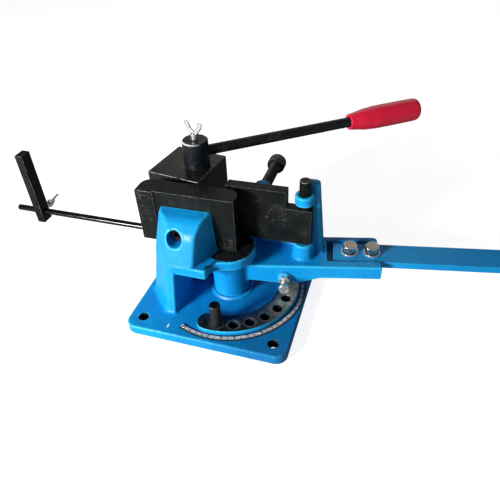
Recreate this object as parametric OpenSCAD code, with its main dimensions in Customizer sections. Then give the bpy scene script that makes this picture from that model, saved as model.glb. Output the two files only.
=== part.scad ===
// Universal bench bar bender: a hand-worked machine that bends bar round a fixed die.
// Millimetres, +Z up, +X to the right along the jaws, -Y towards the user.
// The origin is the middle of the base plate's underside.

/* [Base casting] */
// Width of the base plate
base_w = 230; // [222:1:260]
// Depth of the base plate
base_d = 230; // [224:1:260]
// Thickness of the base plate
base_t = 15.5; // [12:0.5:20]
// Corner radius of the base plate
base_corner_r = 16; // [8:1:20]
// Diameter of each bench bolt hole
bench_hole_d = 13.5; // [11:0.5:14]
// Distance from the plate's edges to the bench bolt holes
bench_inset = 21; // [18:1:24]
// Height of the jaw table above the base plate
table_h = 75.5; // [70:0.5:90]
// Thickness of the jaw table
table_t = 15; // [12:1:18]
// Front edge of the jaw table, in front of the pivot
table_front_reach = 60.5; // [55:0.5:66]
// Back edge of the jaw table, behind the pivot
table_back_reach = 106; // [100:1:110]
// Right edge of the jaw table, left of the pivot
table_right_set = 13; // [10:0.5:18]
// Left edge of the jaw table, left of the pivot
table_left_reach = 100; // [96:1:104]
// Radius of the table's round nose over the pivot
nose_r = 36.5; // [34:0.5:42]
// Thickness of the casting's side and back walls
wall_t = 14; // [10:1:15]
// Height of the column that backs the front die
column_h = 60.5; // [52:0.5:70]

/* [Pivot] */
// Pivot axis, right of the plate's middle
pivot_x = 6.5; // [0:0.5:8]
// Pivot axis, behind the plate's middle
pivot_y = -1.5; // [-5:0.5:5]
// Diameter of the pivot pin
pivot_d = 24; // [20:1:28]
// Wall of the bushes in the arm's hub
bush_wall = 3; // [2:0.5:4]
// Length of each bush
bush_l = 20; // [15:1:25]
// Thickness of the thrust washer under the hub
thrust_t = 2; // [1.5:0.5:3]

/* [Angle stop] */
// Inner radius of the raised arc pad
pad_r_in = 67.5; // [60:0.5:72]
// Outer radius of the raised arc pad
pad_r_out = 98.4; // [95:0.1:98.6]
// Height of the arc pad above the plate
pad_h = 7.7; // [5:0.1:10]
// Radius of the circle of stop holes
stop_circle_r = 86; // [82:0.5:88]
// Angle between neighbouring stop holes
stop_pitch_a = 15.3; // [14:0.1:16]
// Angle of the stop hole that holds the pin
stop_first_a = -85.7; // [-90:0.1:-80]
// Number of stop holes
stop_count = 6; // [4:1:7]
// Diameter of the stop pin's shank
stop_shank_d = 13; // [10:0.5:14]
// Diameter of the stop pin's body
stop_body_d = 15; // [14.5:0.5:18]
// Height of the stop pin above the pad
stop_pin_h = 36.8; // [30:0.1:45]
// Width of the angle scale strip
scale_w = 9; // [6:0.5:9]
// Thickness of the angle scale strip
scale_t = 0.8; // [0.5:0.1:1.5]

/* [Jaws] */
// Height of the jaws
jaw_h = 80; // [70:1:90]
// Length of the front die
die_l = 139.5; // [130:0.5:150]
// Thickness of the front die
die_t = 30; // [26:0.5:34]
// Back face of the front die, behind the pivot
die_back_set = 20; // [17:0.5:22]
// Reach of the front die to the right of the pivot
die_reach = 13.5; // [10:0.5:15]
// Radius of the die's bending corners
die_corner_r = 15; // [10:0.5:18]
// Width of the die's shoulder
shoulder_w = 26; // [20:0.5:26.5]
// How far the die's shoulder stands forward
shoulder_proud = 2.5; // [1:0.5:4]
// Side of the clamp block
block_w = 82; // [74:1:86]
// Angle of the loose clamp block as it stands
block_skew = -9; // [-12:0.5:-5]
// Screw size of the front die's cap screw
die_screw_d = 12; // [10:1:14]
// Height of the cap screw above the table
die_screw_h = 34.5; // [25:0.5:38]
// Diameter of the locating dowels under the die
dowel_d = 10; // [8:1:12]

/* [Eccentric clamp] */
// Clamp axis, left of the pivot
clamp_left = 67.2; // [60:0.1:72]
// Clamp axis, behind the pivot
clamp_behind = 70.7; // [68:0.1:74]
// Diameter of the clamp shaft's head
clamp_head_d = 37; // [35:1:40]
// Height of the clamp shaft's head
clamp_head_h = 39.6; // [32:0.1:42]
// Diameter of the eccentric
cam_d = 22; // [18:1:22]
// Offset of the eccentric from the clamp axis
cam_offset = 5; // [3:0.5:5]
// Diameter of the clamp shaft's journal in the table
journal_d = 20; // [16:1:22]
// Diameter of the clamp lever rod
rod_d = 15; // [12:1:18]
// Direction of the clamp lever, from the jaws' line
rod_a = 36.5; // [20:0.5:50]
// Distance from the clamp axis to the start of the grip
rod_reach = 239; // [200:1:260]
// Length of the red grip
grip_l = 119; // [110:1:135]
// Largest diameter of the grip
grip_d = 35; // [30:1:38]
// Diameter of the grip's neck
grip_neck_d = 24; // [20:1:26]

/* [Swing arm] */
// Direction of the arm, from the jaws' line
arm_a = 12.8; // [8:0.1:16]
// Radius of the arm's hub
hub_r = 26.5; // [24:0.5:30]
// Drop from the table's underside to the arm's top
arm_drop = 9; // [6:0.5:12]
// Depth of the arm's beam
beam_h = 31.5; // [26:0.5:36]
// Depth of the arm's rim at the lever
rim_h = 21.4; // [19:0.1:24]
// Front face of the arm, in front of its axis
arm_front = 14; // [11:0.5:18]
// Back face of the arm, behind its axis
arm_back = 56; // [52:0.5:62]
// Reach of the arm from the pivot
arm_reach = 211; // [205:1:225]
// Diameter of the stop screw
stop_screw_d = 8; // [6:1:10]
// Distance of the stop screw from the pivot
stop_screw_x = 77; // [75:0.5:82]

/* [Bending plate] */
// Length of the bending plate
bend_l = 118; // [110:1:130]
// Thickness of the bending plate
bend_t = 16; // [12:0.5:18]
// Reach of the bending plate to the left of the pivot
bend_overlap = 10; // [5:0.5:14]
// Room for the bar between the die and the bending plate
bar_gap = 7; // [5:0.5:10]
// Width of the notch over the plate's pin
notch_w = 34.5; // [30:0.5:38]
// Height of the plate below the notch
notch_floor_h = 55; // [45:1:60]
// Radius of the plate's lower outer corner
bend_corner_r = 4; // [2:0.5:6]
// Diameter of the bending pin's head, in the eye over the plate
bend_pin_d = 15; // [12:1:18]
// Diameter of the bending pin's shank, in the plate
bend_shank_d = 10; // [8:0.5:11]
// Distance from the plate's end to its pin
bend_pin_inset = 10.6; // [9:0.1:14]
// Diameter of the adjusting screw
adjust_d = 16; // [12:1:18]
// Length of the adjusting screw under its head
adjust_l = 85; // [75:1:100]
// Distance from the bending plate's left end to the screw
adjust_x = 42.5; // [36:0.5:48]
// Height of the adjusting screw above the table
adjust_z = 59; // [50:0.5:64]

/* [Lever] */
// Width of the lever bar
lever_w = 40; // [36:1:42]
// Thickness of the lever bar
lever_t = 10; // [8:0.5:12]
// Length of the lever bar
lever_l = 460; // [300:5:700]
// Play angle of the lever bar in its pocket
lever_play_a = -2.5; // [-2.5:0.1:0]
// Depth of the lever pocket
pocket_h = 12.5; // [10:0.5:13]
// Width of the lever pocket
pocket_w = 46; // [45.5:0.5:48]
// Diameter of the lever bolts
lever_bolt_d = 12; // [10:1:12]
// Distance between the lever bolts
lever_bolt_pitch = 31; // [28:0.5:34]

/* [Length stop] */
// Diameter of the stop rod
stop_rod_d = 9; // [6:0.5:10]
// Length of the stop rod outside the die
stop_rod_l = 221; // [200:1:300]
// Height of the stop rod above the table
stop_rod_h = 8; // [7:0.5:20]
// Width of the stop bar
stop_bar_w = 18; // [16:1:28]
// Thickness of the stop bar
stop_bar_t = 12; // [10:0.5:16]
// Height of the stop bar
stop_bar_h = 113.5; // [90:0.5:140]
// Distance from the stop bar's foot to the rod
stop_bar_foot = 16; // [12:0.5:24]
// Distance from the die to the stop bar
stop_bar_out = 180; // [60:1:185]

/* [Fits] */
// Clearance round a fixed piece
fit_fixed = 0.02; // [0.01:0.01:0.04]
// Clearance round a turning or sliding piece
fit_run = 0.05; // [0.02:0.01:0.09]
// Gap between neighbouring pieces that stay clear
gap = 0.3; // [0.2:0.05:0.5]

/* [Hidden] */
$fn = 64;
hull_fn = 24;
eps = 0.01;

// Levels
pad_top = base_t + pad_h;
table_z = base_t + table_h;
table_under = table_z - table_t;
jaw_top = table_z + jaw_h;
seat_h = 1;
seat_top = base_t + seat_h;
hub_bottom = seat_top + thrust_t;
hub_top = table_under - gap;
arm_top = table_under - arm_drop;
beam_bottom = arm_top - beam_h;
rim_bottom = arm_top - rim_h;

// Casting outline
table_front = pivot_y - table_front_reach;
table_back = pivot_y + table_back_reach;
table_left = pivot_x - table_left_reach;
table_right = pivot_x - table_right_set;
wall_flare = 12;
foot_left = table_left - wall_flare;
foot_right = foot_left + 53;
foot_front = table_front - 15;

// Front die
die_back = pivot_y + die_back_set;
die_front = die_back - die_t;
die_right = pivot_x + die_reach;
die_left = die_right - die_l;
column_x = pivot_x - 61.5;
die_screw_x = column_x + 3;
die_screw_z = table_z + die_screw_h;
die_screw_head_d = 1.5 * die_screw_d;
die_screw_seat = die_front - 14.5;
die_screw_grip = 18;
column_top = table_z + column_h;

// Pivot
bush_d = pivot_d + 2 * bush_wall;
pivot_flange_d = pivot_d + 24;
pivot_flange_t = 5;
pivot_flange_z = 0.5;
pivot_top = table_z - 3.5;
pivot_screw_d = 5;
pivot_screw_head_d = 9.5;
pivot_screw_l = 13;
pivot_screw_r = (pivot_d + pivot_flange_d) / 4;

// Angle stop
pad_mid_r = (pad_r_in + pad_r_out) / 2;
pad_half_w = (pad_r_out - pad_r_in) / 2;
pad_start_a = stop_first_a - 9.3;
pad_end_a = stop_first_a + (stop_count - 1) * stop_pitch_a + 20;
scale_r_in = pad_r_out + 0.6;
scale_r_out = scale_r_in + scale_w;
scale_start_a = -114;
scale_end_a = 16;
rivet_angles = [-112, -49.6, 12];
rivet_head_d = 4;
rivet_head_h = 1;
rivet_shank_d = 2.4;
rivet_shank_l = 6;

// Clamp
clamp_x = pivot_x - clamp_left;
clamp_y = pivot_y + clamp_behind;
block_bore_x = 16;
head_z = jaw_top + gap;
head_top = head_z + clamp_head_h;
rod_z = head_z + 20;
rod_in = 14;
rod_in_grip = 60;
cam_phase = -15;
cam_play = 0.55;
cam_side_play = 2;
clamp_nut_t = 10;
clamp_washer_t = 2.5;
clamp_washer_d = 34;
clamp_nut_w = 24;
clamp_thread_d = 16;
clamp_boss_h = 4;
clamp_seat = table_under - clamp_boss_h;

// Wing screws
clamp_wing_d = 8;
stop_wing_d = 6;
stop_wing_out = 7;

// Bending plate and what the arm carries for it
bend_lift = 0.5;
bend_z = table_z + bend_lift;
bend_front = die_back + bar_gap;
bend_back = bend_front + bend_t;
bend_left = pivot_x - bend_overlap;
bend_right = bend_left + bend_l;
bend_pin_x = bend_right - bend_pin_inset;
bend_pin_y = bend_front + bend_t / 2;
bend_pin_floor = arm_top - 7;
bend_pin_top = jaw_top + 19;
notch_z = bend_z + notch_floor_h;
eye_r = bend_pin_d / 2 + 5.5;
eye_z = notch_z + 8;
eye_h = 14;
boss_r = bend_pin_d / 2 + 7;
post_front = bend_back + 2.5;
post_top = bend_pin_top - 9;
lug_front = bend_back + 8.5;
lug_t = 14;
lug_r = adjust_d / 2 + 6;
screw_x = bend_left + adjust_x;
screw_z = table_z + adjust_z;
adjust_tip = bend_back + 0.7;
adjust_head_d = 1.65 * adjust_d;
adjust_head_h = adjust_d;

// Lever
pocket_floor = arm_top - pocket_h;
pocket_start = arm_reach - 74;
pocket_front = -arm_front + 14;
lever_y = pocket_front + pocket_w / 2;
lever_start = pocket_start + 9;
lever_bolt_x = (lever_start + arm_reach) / 2 + 6.3;
lever_top = pocket_floor + lever_t;
lever_washer_t = 2.5;
lever_washer_d = 2 * lever_bolt_d;
lever_spring_t = 3;
lever_spring_d = 1.7 * lever_bolt_d;
lever_spring_slit = 1.5;
lever_head_z = lever_top + lever_washer_t + lever_spring_t;
lever_head_h = 7.5;
lever_head_w = 1.58 * lever_bolt_d;
lever_nut_h = 10;

// Stop screw
stop_screw_z = beam_bottom + 11;
stop_head_h = 5.3;
stop_head_w = 1.75 * stop_screw_d;
stop_head_y = -arm_front - 20.7;
stop_nut_h = 6.5;
stop_boss_h = 3.5;
stop_nut_y = -arm_front - stop_boss_h;
stop_screw_in = 20;

// Length stop
stop_rod_y = pivot_y + 1.5;
stop_rod_z = table_z + stop_rod_h;
stop_rod_in = 25;
stop_bar_x = die_left - stop_bar_out;
stop_bar_z = stop_rod_z - stop_bar_foot;

// Carries children to the pivot axis
module on_pivot(z = 0) {
  translate([pivot_x, pivot_y, z]) children();
}

// Carries children to the clamp shaft's axis
module on_clamp(z = 0) {
  translate([clamp_x, clamp_y, z]) children();
}

// Carries children to the arm's own axes: x along the arm, from the pivot
module on_arm(z = 0) {
  on_pivot(z) rotate(arm_a) children();
}

// Carries children to the lever bar's axes, turned by its play about the middle of its bolts
module on_lever(z = 0) {
  on_arm(z) translate([lever_bolt_x, lever_y]) rotate(lever_play_a) children();
}

// Turns an upright shape to run along +Y
module along_y() {
  rotate([-90, 0, 0]) children();
}

// Turns an upright shape to run along +X
module along_x() {
  rotate([0, 90, 0]) children();
}

// Rectangle from one corner to another with round corners
module round_rect(x0, y0, x1, y1, r) {
  translate([x0 + r, y0]) square([x1 - x0 - 2 * r, y1 - y0]);
  translate([x0, y0 + r]) square([x1 - x0, y1 - y0 - 2 * r]);
  for (x = [x0 + r, x1 - r], y = [y0 + r, y1 - r]) translate([x, y]) circle(r);
}

// Ring sector about the pivot
module arc_band(r_in, r_out, a0, a1) {
  steps = ceil((a1 - a0) / 15);
  far = 1.1 * r_out;
  rim = [for (i = [0:steps]) let (a = a0 + (a1 - a0) * i / steps) far * [cos(a), sin(a)]];
  intersection() {
    difference() {
      circle(r_out);
      circle(r_in);
    }
    polygon(concat([[0, 0]], rim));
  }
}

// Six-sided head or nut, standing up from z = 0, with its width across the flats
module hex_prism(across_flats, h) {
  cylinder(d = across_flats / cos(30), h = h, $fn = 6);
}

// Wing screw standing on z = 0: shank below, collar and two wings above
module wing_screw(d, shank_l, collar_d, collar_h, span, wing_h) {
  wing_t = 0.4 * d;
  root = 0.42 * collar_d;
  tip = span / 2;
  translate([0, 0, -shank_l]) cylinder(d = d, h = shank_l + eps);
  cylinder(d = collar_d, h = collar_h);
  for (side = [0, 180])
    rotate([90, 0, side])
      translate([0, 0, -wing_t / 2])
        linear_extrude(wing_t)
          difference() {
            polygon([
              [0, 0.35 * collar_h],
              [root, 0.35 * collar_h],
              [tip, collar_h + 0.55 * wing_h],
              [tip - 0.1 * span, collar_h + wing_h],
              [0.6 * tip, collar_h + 0.85 * wing_h],
              [0, collar_h]
            ]);
            translate([-eps, collar_h]) square([0.1 * span, wing_h]);
          }
}

// Row of points joined into a rounded block, for the cast column and foot
module rounded_block(points, r) {
  hull() for (p = points) translate(p) sphere(r, $fn = hull_fn);
}

// Cast foot that rises from the plate to the table's front left
module foot() {
  r = 4;
  low = base_t - r;
  high = table_z - r - 1;
  rounded_block([
    [foot_right - r, foot_front + r, low],
    [foot_left + 36 + r, foot_front + r, low],
    [foot_left + r, foot_front + 43, low],
    [foot_left + r, table_front + 48, low],
    [foot_right - r, table_front + 48, low],
    [foot_right - r, table_front + r + 1, high],
    [table_left + 30, table_front + r + 1, high],
    [table_left + r + 1, table_front + 34, high],
    [table_left + r + 1, table_front + 48, high],
    [foot_right - r, table_front + 48, high]
  ], r);
}

// Tapered column in front of the die, before it is cut flat against the die
module column() {
  r = 4;
  low = table_z - r;
  mid = table_z + 37.5;
  high = column_top - r;
  rounded_block([
    [column_x + 27, table_front + 1 + r, low],
    [column_x - 7, table_front + 1 + r, low],
    [table_left + r + 1, table_front + 32, low],
    [table_left + r + 1, die_front, low],
    [column_x + 43, die_front, low],
    [column_x + 26, table_front + 14 + r, mid],
    [column_x - 4, table_front + 14 + r, mid],
    [column_x - 8, die_front - 28, mid + 5],
    [column_x + 32, die_front - 16, high - 3],
    [column_x - 13, die_front - 16, high - 3.5],
    [column_x - 27, die_front - 4.5, high - 2],
    [column_x - 27, die_front + r, high - 1.5],
    [column_x + 36.5, die_front + r, high - 1],
    [column_x + 36, die_front - 4, high - 1.5]
  ], r);
}

module table_plan() {
  corner_r = 4;
  cut = 30;
  difference() {
    round_rect(table_left, table_front, table_right, table_back, corner_r);
    polygon([
      [table_left - 1, table_front - 1],
      [table_left + cut, table_front - 1],
      [table_left - 1, table_front + cut]
    ]);
  }
  translate([pivot_x, pivot_y]) circle(nose_r);
  polygon([
    [table_right - 5, pivot_y],
    [table_right - 5, pivot_y - nose_r - 12],
    [table_right, pivot_y - nose_r - 12],
    [pivot_x - 6.5, pivot_y - nose_r - 5],
    [pivot_x + 3, pivot_y - nose_r + 0.1],
    [pivot_x + 3, pivot_y]
  ]);
}

// Walls that carry the table at its left and back
module walls() {
  translate([0, table_back - 1.5, 0])
    rotate([90, 0, 0])
      linear_extrude(table_back - table_front - 40)
        polygon([
          [foot_left + 3, base_t - 2],
          [foot_left + wall_t + 8, base_t - 2],
          [table_left + wall_t, table_under + 2],
          [table_left + 3, table_under + 2]
        ]);
  translate([table_left + 5, table_back - wall_t, base_t - 2])
    cube([table_right - table_left - 30, wall_t - 3, table_under - base_t + 4]);
}

// Places children at each stop hole
module at_stop_holes() {
  for (i = [0:stop_count - 1])
    on_pivot()
      rotate(stop_first_a + i * stop_pitch_a)
        translate([stop_circle_r, 0, 0]) children();
}

// Places children at each dowel under the die
module at_dowels() {
  for (x = [die_left + 40, die_right - 46])
    translate([x, (die_front + die_back) / 2, table_z]) children();
}

module base_casting() {
  hole_x = base_w / 2 - bench_inset;
  hole_y = base_d / 2 - bench_inset;
  color("deepskyblue")
    difference() {
      union() {
        linear_extrude(base_t)
          round_rect(-base_w / 2, -base_d / 2, base_w / 2, base_d / 2, base_corner_r);
        on_pivot(base_t - 1) linear_extrude(pad_h + 1) {
          arc_band(pad_r_in, pad_r_out, pad_start_a, pad_end_a);
          for (a = [pad_start_a, pad_end_a]) rotate(a) translate([pad_mid_r, 0]) circle(pad_half_w - 0.4);
        }
        on_pivot() cylinder(r = hub_r + 5, h = seat_top);
        foot();
        walls();
        translate([0, 0, table_under]) linear_extrude(table_t) table_plan();
        column();
        on_clamp(clamp_seat) cylinder(d = clamp_washer_d + 8, h = clamp_boss_h + 1);
      }
      translate([die_left - 10, die_front, table_z])
        cube([die_l + 20, die_t + 10, jaw_h]);
      translate([die_left - 10, die_front - shoulder_proud - gap, table_z])
        cube([10 + shoulder_w + gap, die_t, jaw_h]);
      for (x = [-hole_x, hole_x], y = [-hole_y, hole_y])
        translate([x, y, -1]) cylinder(d = bench_hole_d, h = base_t + 2);
      translate([0, 0, -1]) at_stop_holes() cylinder(d = stop_shank_d + 2 * fit_run, h = pad_top + 2);
      on_pivot(-1) cylinder(d = pivot_d + 2 * fit_fixed, h = pivot_top + 1.5);
      on_pivot(-1) cylinder(d = pivot_flange_d + 1, h = pivot_flange_z + pivot_flange_t + 1);
      at_pivot_screws() cylinder(d = pivot_screw_d + 2 * fit_fixed, h = pivot_screw_l + 0.5);
      on_clamp(clamp_seat - 1) cylinder(d = journal_d + 2 * fit_run, h = table_z - clamp_seat + 2);
      translate([die_screw_x, die_front + 1, die_screw_z])
        rotate([90, 0, 0]) cylinder(d = die_screw_d + 1, h = 60);
      translate([die_screw_x, die_screw_seat, die_screw_z])
        rotate([90, 0, 0]) cylinder(d = die_screw_head_d + 4, h = 60);
      at_dowels() translate([0, 0, -12]) cylinder(d = dowel_d + 2 * fit_fixed, h = 13);
      on_pivot(base_t)
        for (a = rivet_angles)
          rotate(a) translate([(scale_r_in + scale_r_out) / 2, 0, -rivet_shank_l])
            cylinder(d = rivet_shank_d + 2 * fit_fixed, h = rivet_shank_l + 1);
    }
}

module angle_scale() {
  color("silver")
    on_pivot(base_t)
      difference() {
        linear_extrude(scale_t) arc_band(scale_r_in, scale_r_out, scale_start_a, scale_end_a);
        for (a = rivet_angles)
          rotate(a) translate([(scale_r_in + scale_r_out) / 2, 0, -1])
            cylinder(d = rivet_shank_d + 2 * fit_fixed, h = scale_t + 2);
      }
}

module scale_rivets() {
  color("gainsboro")
    on_pivot(base_t)
      for (a = rivet_angles)
        rotate(a) translate([(scale_r_in + scale_r_out) / 2, 0, 0]) {
          translate([0, 0, -rivet_shank_l]) cylinder(d = rivet_shank_d, h = rivet_shank_l + scale_t + eps);
          translate([0, 0, scale_t]) cylinder(d1 = rivet_head_d, d2 = rivet_head_d - 1, h = rivet_head_h);
        }
}

module stop_pin() {
  color("dimgray")
    on_pivot(pad_top) rotate(stop_first_a) translate([stop_circle_r, 0, 0]) {
      translate([0, 0, -pad_top + 2]) cylinder(d = stop_shank_d, h = pad_top - 2 + eps);
      cylinder(d = stop_body_d, h = stop_pin_h - 1);
      translate([0, 0, stop_pin_h - 1]) cylinder(d1 = stop_body_d, d2 = stop_body_d - 2, h = 1);
    }
}

// Places children at each screw of the pivot pin's flange
module at_pivot_screws() {
  for (a = [45, 225])
    on_pivot(pivot_flange_z) rotate(a) translate([pivot_screw_r, 0, 0]) children();
}

module pivot_pin() {
  sink = (pivot_screw_head_d - pivot_screw_d) / 2;
  color("dimgray")
    difference() {
      union() {
        on_pivot(pivot_flange_z) cylinder(d = pivot_flange_d, h = pivot_flange_t);
        on_pivot(pivot_flange_z) cylinder(d = pivot_d, h = pivot_top - pivot_flange_z);
      }
      at_pivot_screws() {
        translate([0, 0, -1]) cylinder(d = pivot_screw_d + 2 * fit_fixed, h = pivot_flange_t + 2);
        translate([0, 0, -fit_fixed])
          cylinder(d1 = pivot_screw_head_d + 2 * fit_fixed, d2 = pivot_screw_d, h = sink + fit_fixed);
      }
    }
}

module pivot_screws() {
  sink = (pivot_screw_head_d - pivot_screw_d) / 2;
  color("gray")
    at_pivot_screws()
      difference() {
        union() {
          cylinder(d1 = pivot_screw_head_d, d2 = pivot_screw_d, h = sink);
          cylinder(d = pivot_screw_d, h = pivot_screw_l);
        }
        translate([0, 0, -1]) hex_prism(0.6 * pivot_screw_d, sink);
      }
}

module thrust_washer() {
  color("goldenrod")
    on_pivot(seat_top)
      difference() {
        cylinder(r = hub_r - 2, h = thrust_t);
        translate([0, 0, -1]) cylinder(d = pivot_d + 2 * gap, h = thrust_t + 2);
      }
}

module pivot_bushes() {
  color("goldenrod")
    for (z = [hub_bottom, hub_top - bush_l])
      on_pivot(z)
        difference() {
          cylinder(d = bush_d, h = bush_l);
          translate([0, 0, -1]) cylinder(d = pivot_d + 2 * fit_run, h = bush_l + 2);
        }
}

module front_die() {
  r = die_corner_r;
  color([0.13, 0.13, 0.12])
    difference() {
      union() {
        translate([0, 0, table_z])
          linear_extrude(jaw_h) {
            translate([die_left, die_front]) square([die_l, die_t - r]);
            translate([die_left + r, die_front]) square([die_l - 2 * r, die_t]);
            for (x = [die_left + r, die_right - r]) translate([x, die_back - r]) circle(r);
          }
        translate([die_left, die_front - shoulder_proud, table_z])
          cube([shoulder_w, shoulder_proud + 1, jaw_h]);
      }
      translate([die_screw_x, die_front - 1, die_screw_z])
        along_y() cylinder(d = die_screw_d + 2 * fit_fixed, h = die_screw_grip + 3);
      at_dowels() translate([0, 0, -1]) cylinder(d = dowel_d + 2 * fit_fixed, h = 14);
      translate([die_left - 1, stop_rod_y, stop_rod_z])
        along_x() cylinder(d = stop_rod_d + 2 * fit_fixed, h = stop_rod_in + 2);
    }
}

module front_die_screw() {
  head_h = die_screw_d;
  color([0.1, 0.1, 0.1])
    translate([die_screw_x, die_screw_seat, die_screw_z])
      along_y()
        difference() {
          union() {
            translate([0, 0, -head_h]) cylinder(d = die_screw_head_d, h = head_h);
            cylinder(d = die_screw_d, h = die_front - die_screw_seat + die_screw_grip);
          }
          translate([0, 0, -head_h - 1]) hex_prism(0.83 * die_screw_d, 0.5 * die_screw_d + 1);
        }
}

module die_dowels() {
  color("gray") at_dowels() translate([0, 0, -11.5]) cylinder(d = dowel_d, h = 24);
}

// Carries children to the eccentric's axis
module on_cam(z) {
  translate([clamp_x, clamp_y, z]) rotate(cam_phase) translate([cam_offset, 0, 0]) rotate(-cam_phase) children();
}

// Carries children to the middle of the neck between the journal and the eccentric
module on_neck(z) {
  translate([clamp_x, clamp_y, z]) rotate(cam_phase) translate([cam_offset / 2, 0, 0]) children();
}

// Space that the eccentric sweeps in the clamp block, longer along X than along Y
module cam_slot(h) {
  linear_extrude(h) {
    translate([-cam_side_play, 0]) circle(d = cam_d + 2 * cam_play);
    translate([cam_play, 0]) circle(d = cam_d + 2 * cam_play);
    translate([-cam_side_play, -cam_d / 2 - cam_play])
      square([cam_side_play + cam_play, cam_d + 2 * cam_play]);
  }
}

module clamp_block() {
  color([0.14, 0.14, 0.12])
    difference() {
      translate([clamp_x, clamp_y, table_z])
        rotate(block_skew)
          translate([-block_w / 2 - block_bore_x, -block_w / 2 - 1.5, 0]) cube([block_w, block_w, jaw_h]);
      on_cam(table_z - 1) cam_slot(jaw_h + 2);
    }
}

module clamp_shaft() {
  thread_l = clamp_nut_t + clamp_washer_t + 4;
  neck_d = min(journal_d, cam_d) - cam_offset - 0.6;
  color([0.15, 0.16, 0.17])
    difference() {
      union() {
        on_clamp(head_z) cylinder(d = clamp_head_d, h = clamp_head_h - 1.5);
        on_clamp(head_top - 1.5) cylinder(d1 = clamp_head_d, d2 = clamp_head_d - 3, h = 1.5);
        on_cam(table_z + gap) cylinder(d = cam_d, h = jaw_h + eps);
        on_neck(table_z - gap - 1) cylinder(d = neck_d, h = 2 * gap + 2);
        on_clamp(clamp_seat) cylinder(d = journal_d, h = table_z - gap - clamp_seat);
        on_clamp(clamp_seat - thread_l) cylinder(d = clamp_thread_d, h = thread_l + eps);
      }
      on_lever_rod() translate([0, 0, -rod_in]) cylinder(d = rod_d + 2 * fit_fixed, h = clamp_head_d);
      on_clamp(rod_z) cylinder(d = clamp_wing_d + 2 * fit_run, h = clamp_head_h);
    }
}

module clamp_washer() {
  color("gainsboro")
    on_clamp(clamp_seat - clamp_washer_t)
      difference() {
        cylinder(d = clamp_washer_d, h = clamp_washer_t);
        translate([0, 0, -1]) cylinder(d = clamp_thread_d + 2 * fit_fixed, h = clamp_washer_t + 2);
      }
}

module clamp_nut() {
  color("gainsboro")
    on_clamp(clamp_seat - clamp_washer_t - clamp_nut_t)
      difference() {
        hex_prism(clamp_nut_w, clamp_nut_t);
        translate([0, 0, -1]) cylinder(d = clamp_thread_d + 2 * fit_fixed, h = clamp_nut_t + 2);
      }
}

// Carries children to the clamp lever's axis, z running outwards from the clamp axis
module on_lever_rod() {
  translate([clamp_x, clamp_y, rod_z]) rotate([0, 90, rod_a]) children();
}

module clamp_lever_rod() {
  color([0.1, 0.1, 0.11])
    on_lever_rod()
      translate([0, 0, -rod_in + 0.5]) cylinder(d = rod_d, h = rod_in - 0.5 + rod_reach + rod_in_grip);
}

module clamp_grip() {
  big = grip_d / 2;
  neck = grip_neck_d / 2;
  round = 5;
  color("crimson")
    on_lever_rod()
      translate([0, 0, rod_reach])
        difference() {
          rotate_extrude() {
            polygon([
              [0, 0],
              [neck - 1.5, 0],
              [neck, 1.5],
              [neck + 0.68 * (big - neck), 0.21 * grip_l],
              [big, 0.38 * grip_l],
              [big, 0.75 * grip_l],
              [big - 0.2, grip_l - round],
              [0, grip_l - round]
            ]);
            translate([0, grip_l - round]) square([big - 0.2 - round, round]);
            translate([big - 0.2 - round, grip_l - round])
              intersection() {
                circle(round);
                square(round);
              }
          }
          translate([0, 0, -1]) cylinder(d = rod_d + 2 * fit_fixed, h = rod_in_grip + 2);
        }
}

module clamp_wing_screw() {
  shank = head_top - rod_z - rod_d / 2 - gap;
  color("whitesmoke")
    on_clamp(head_top + gap)
      rotate(-15.5) wing_screw(clamp_wing_d, shank, 10.5, 9, 30, 17);
}

// Beam of the arm: its plan carried through its side profile
module arm_beam() {
  on_arm()
    intersection() {
      linear_extrude(arm_top)
        polygon([
          [0, -arm_front],
          [arm_reach - 3, -arm_front],
          [arm_reach, -arm_front + 3],
          [arm_reach, arm_back - 7],
          [arm_reach - 2, arm_back - 2],
          [arm_reach - 7, arm_back],
          [72, arm_back],
          [62, arm_back + 6],
          [28, arm_back + 6],
          [-14, 16]
        ]);
      translate([0, 2 * arm_back, 0])
        rotate([90, 0, 0])
          linear_extrude(4 * arm_back)
            polygon([
              [-30, beam_bottom + 4],
              [30, beam_bottom + 4],
              [66, beam_bottom],
              [95, beam_bottom],
              [127, rim_bottom],
              [arm_reach + 10, rim_bottom],
              [arm_reach + 10, arm_top],
              [-30, arm_top]
            ]);
    }
}

// Post behind the bending plate that carries the eye over its pin
module arm_post() {
  r = 5;
  low = arm_top - 6;
  hull() {
    for (x = [bend_pin_x - 12, bend_pin_x + 19], y = [post_front + r, post_front + 16])
      translate([x, y, low]) cylinder(r = r, h = 2, $fn = hull_fn);
    for (x = [bend_pin_x - 2, bend_pin_x + 10], y = [post_front + r, post_front + 7])
      translate([x, y, post_top - 2]) cylinder(r = r, h = 2, $fn = hull_fn);
  }
}

// Lug behind the bending plate for the adjusting screw, with a rib that ties it to the post
module arm_lug() {
  hull() {
    translate([screw_x, lug_front, screw_z]) along_y() cylinder(r = lug_r, h = lug_t, $fn = hull_fn);
    translate([screw_x - 17, lug_front, arm_top - 6]) cube([34, lug_t, 2]);
  }
  translate([0, lug_front + lug_t - 2, 0])
    rotate([90, 0, 0])
      linear_extrude(lug_t - 4)
        polygon([
          [screw_x, arm_top - 3],
          [bend_pin_x, arm_top - 3],
          [bend_pin_x, arm_top + 70],
          [bend_pin_x - 20, arm_top + 42],
          [screw_x, arm_top + 36]
        ]);
}

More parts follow.
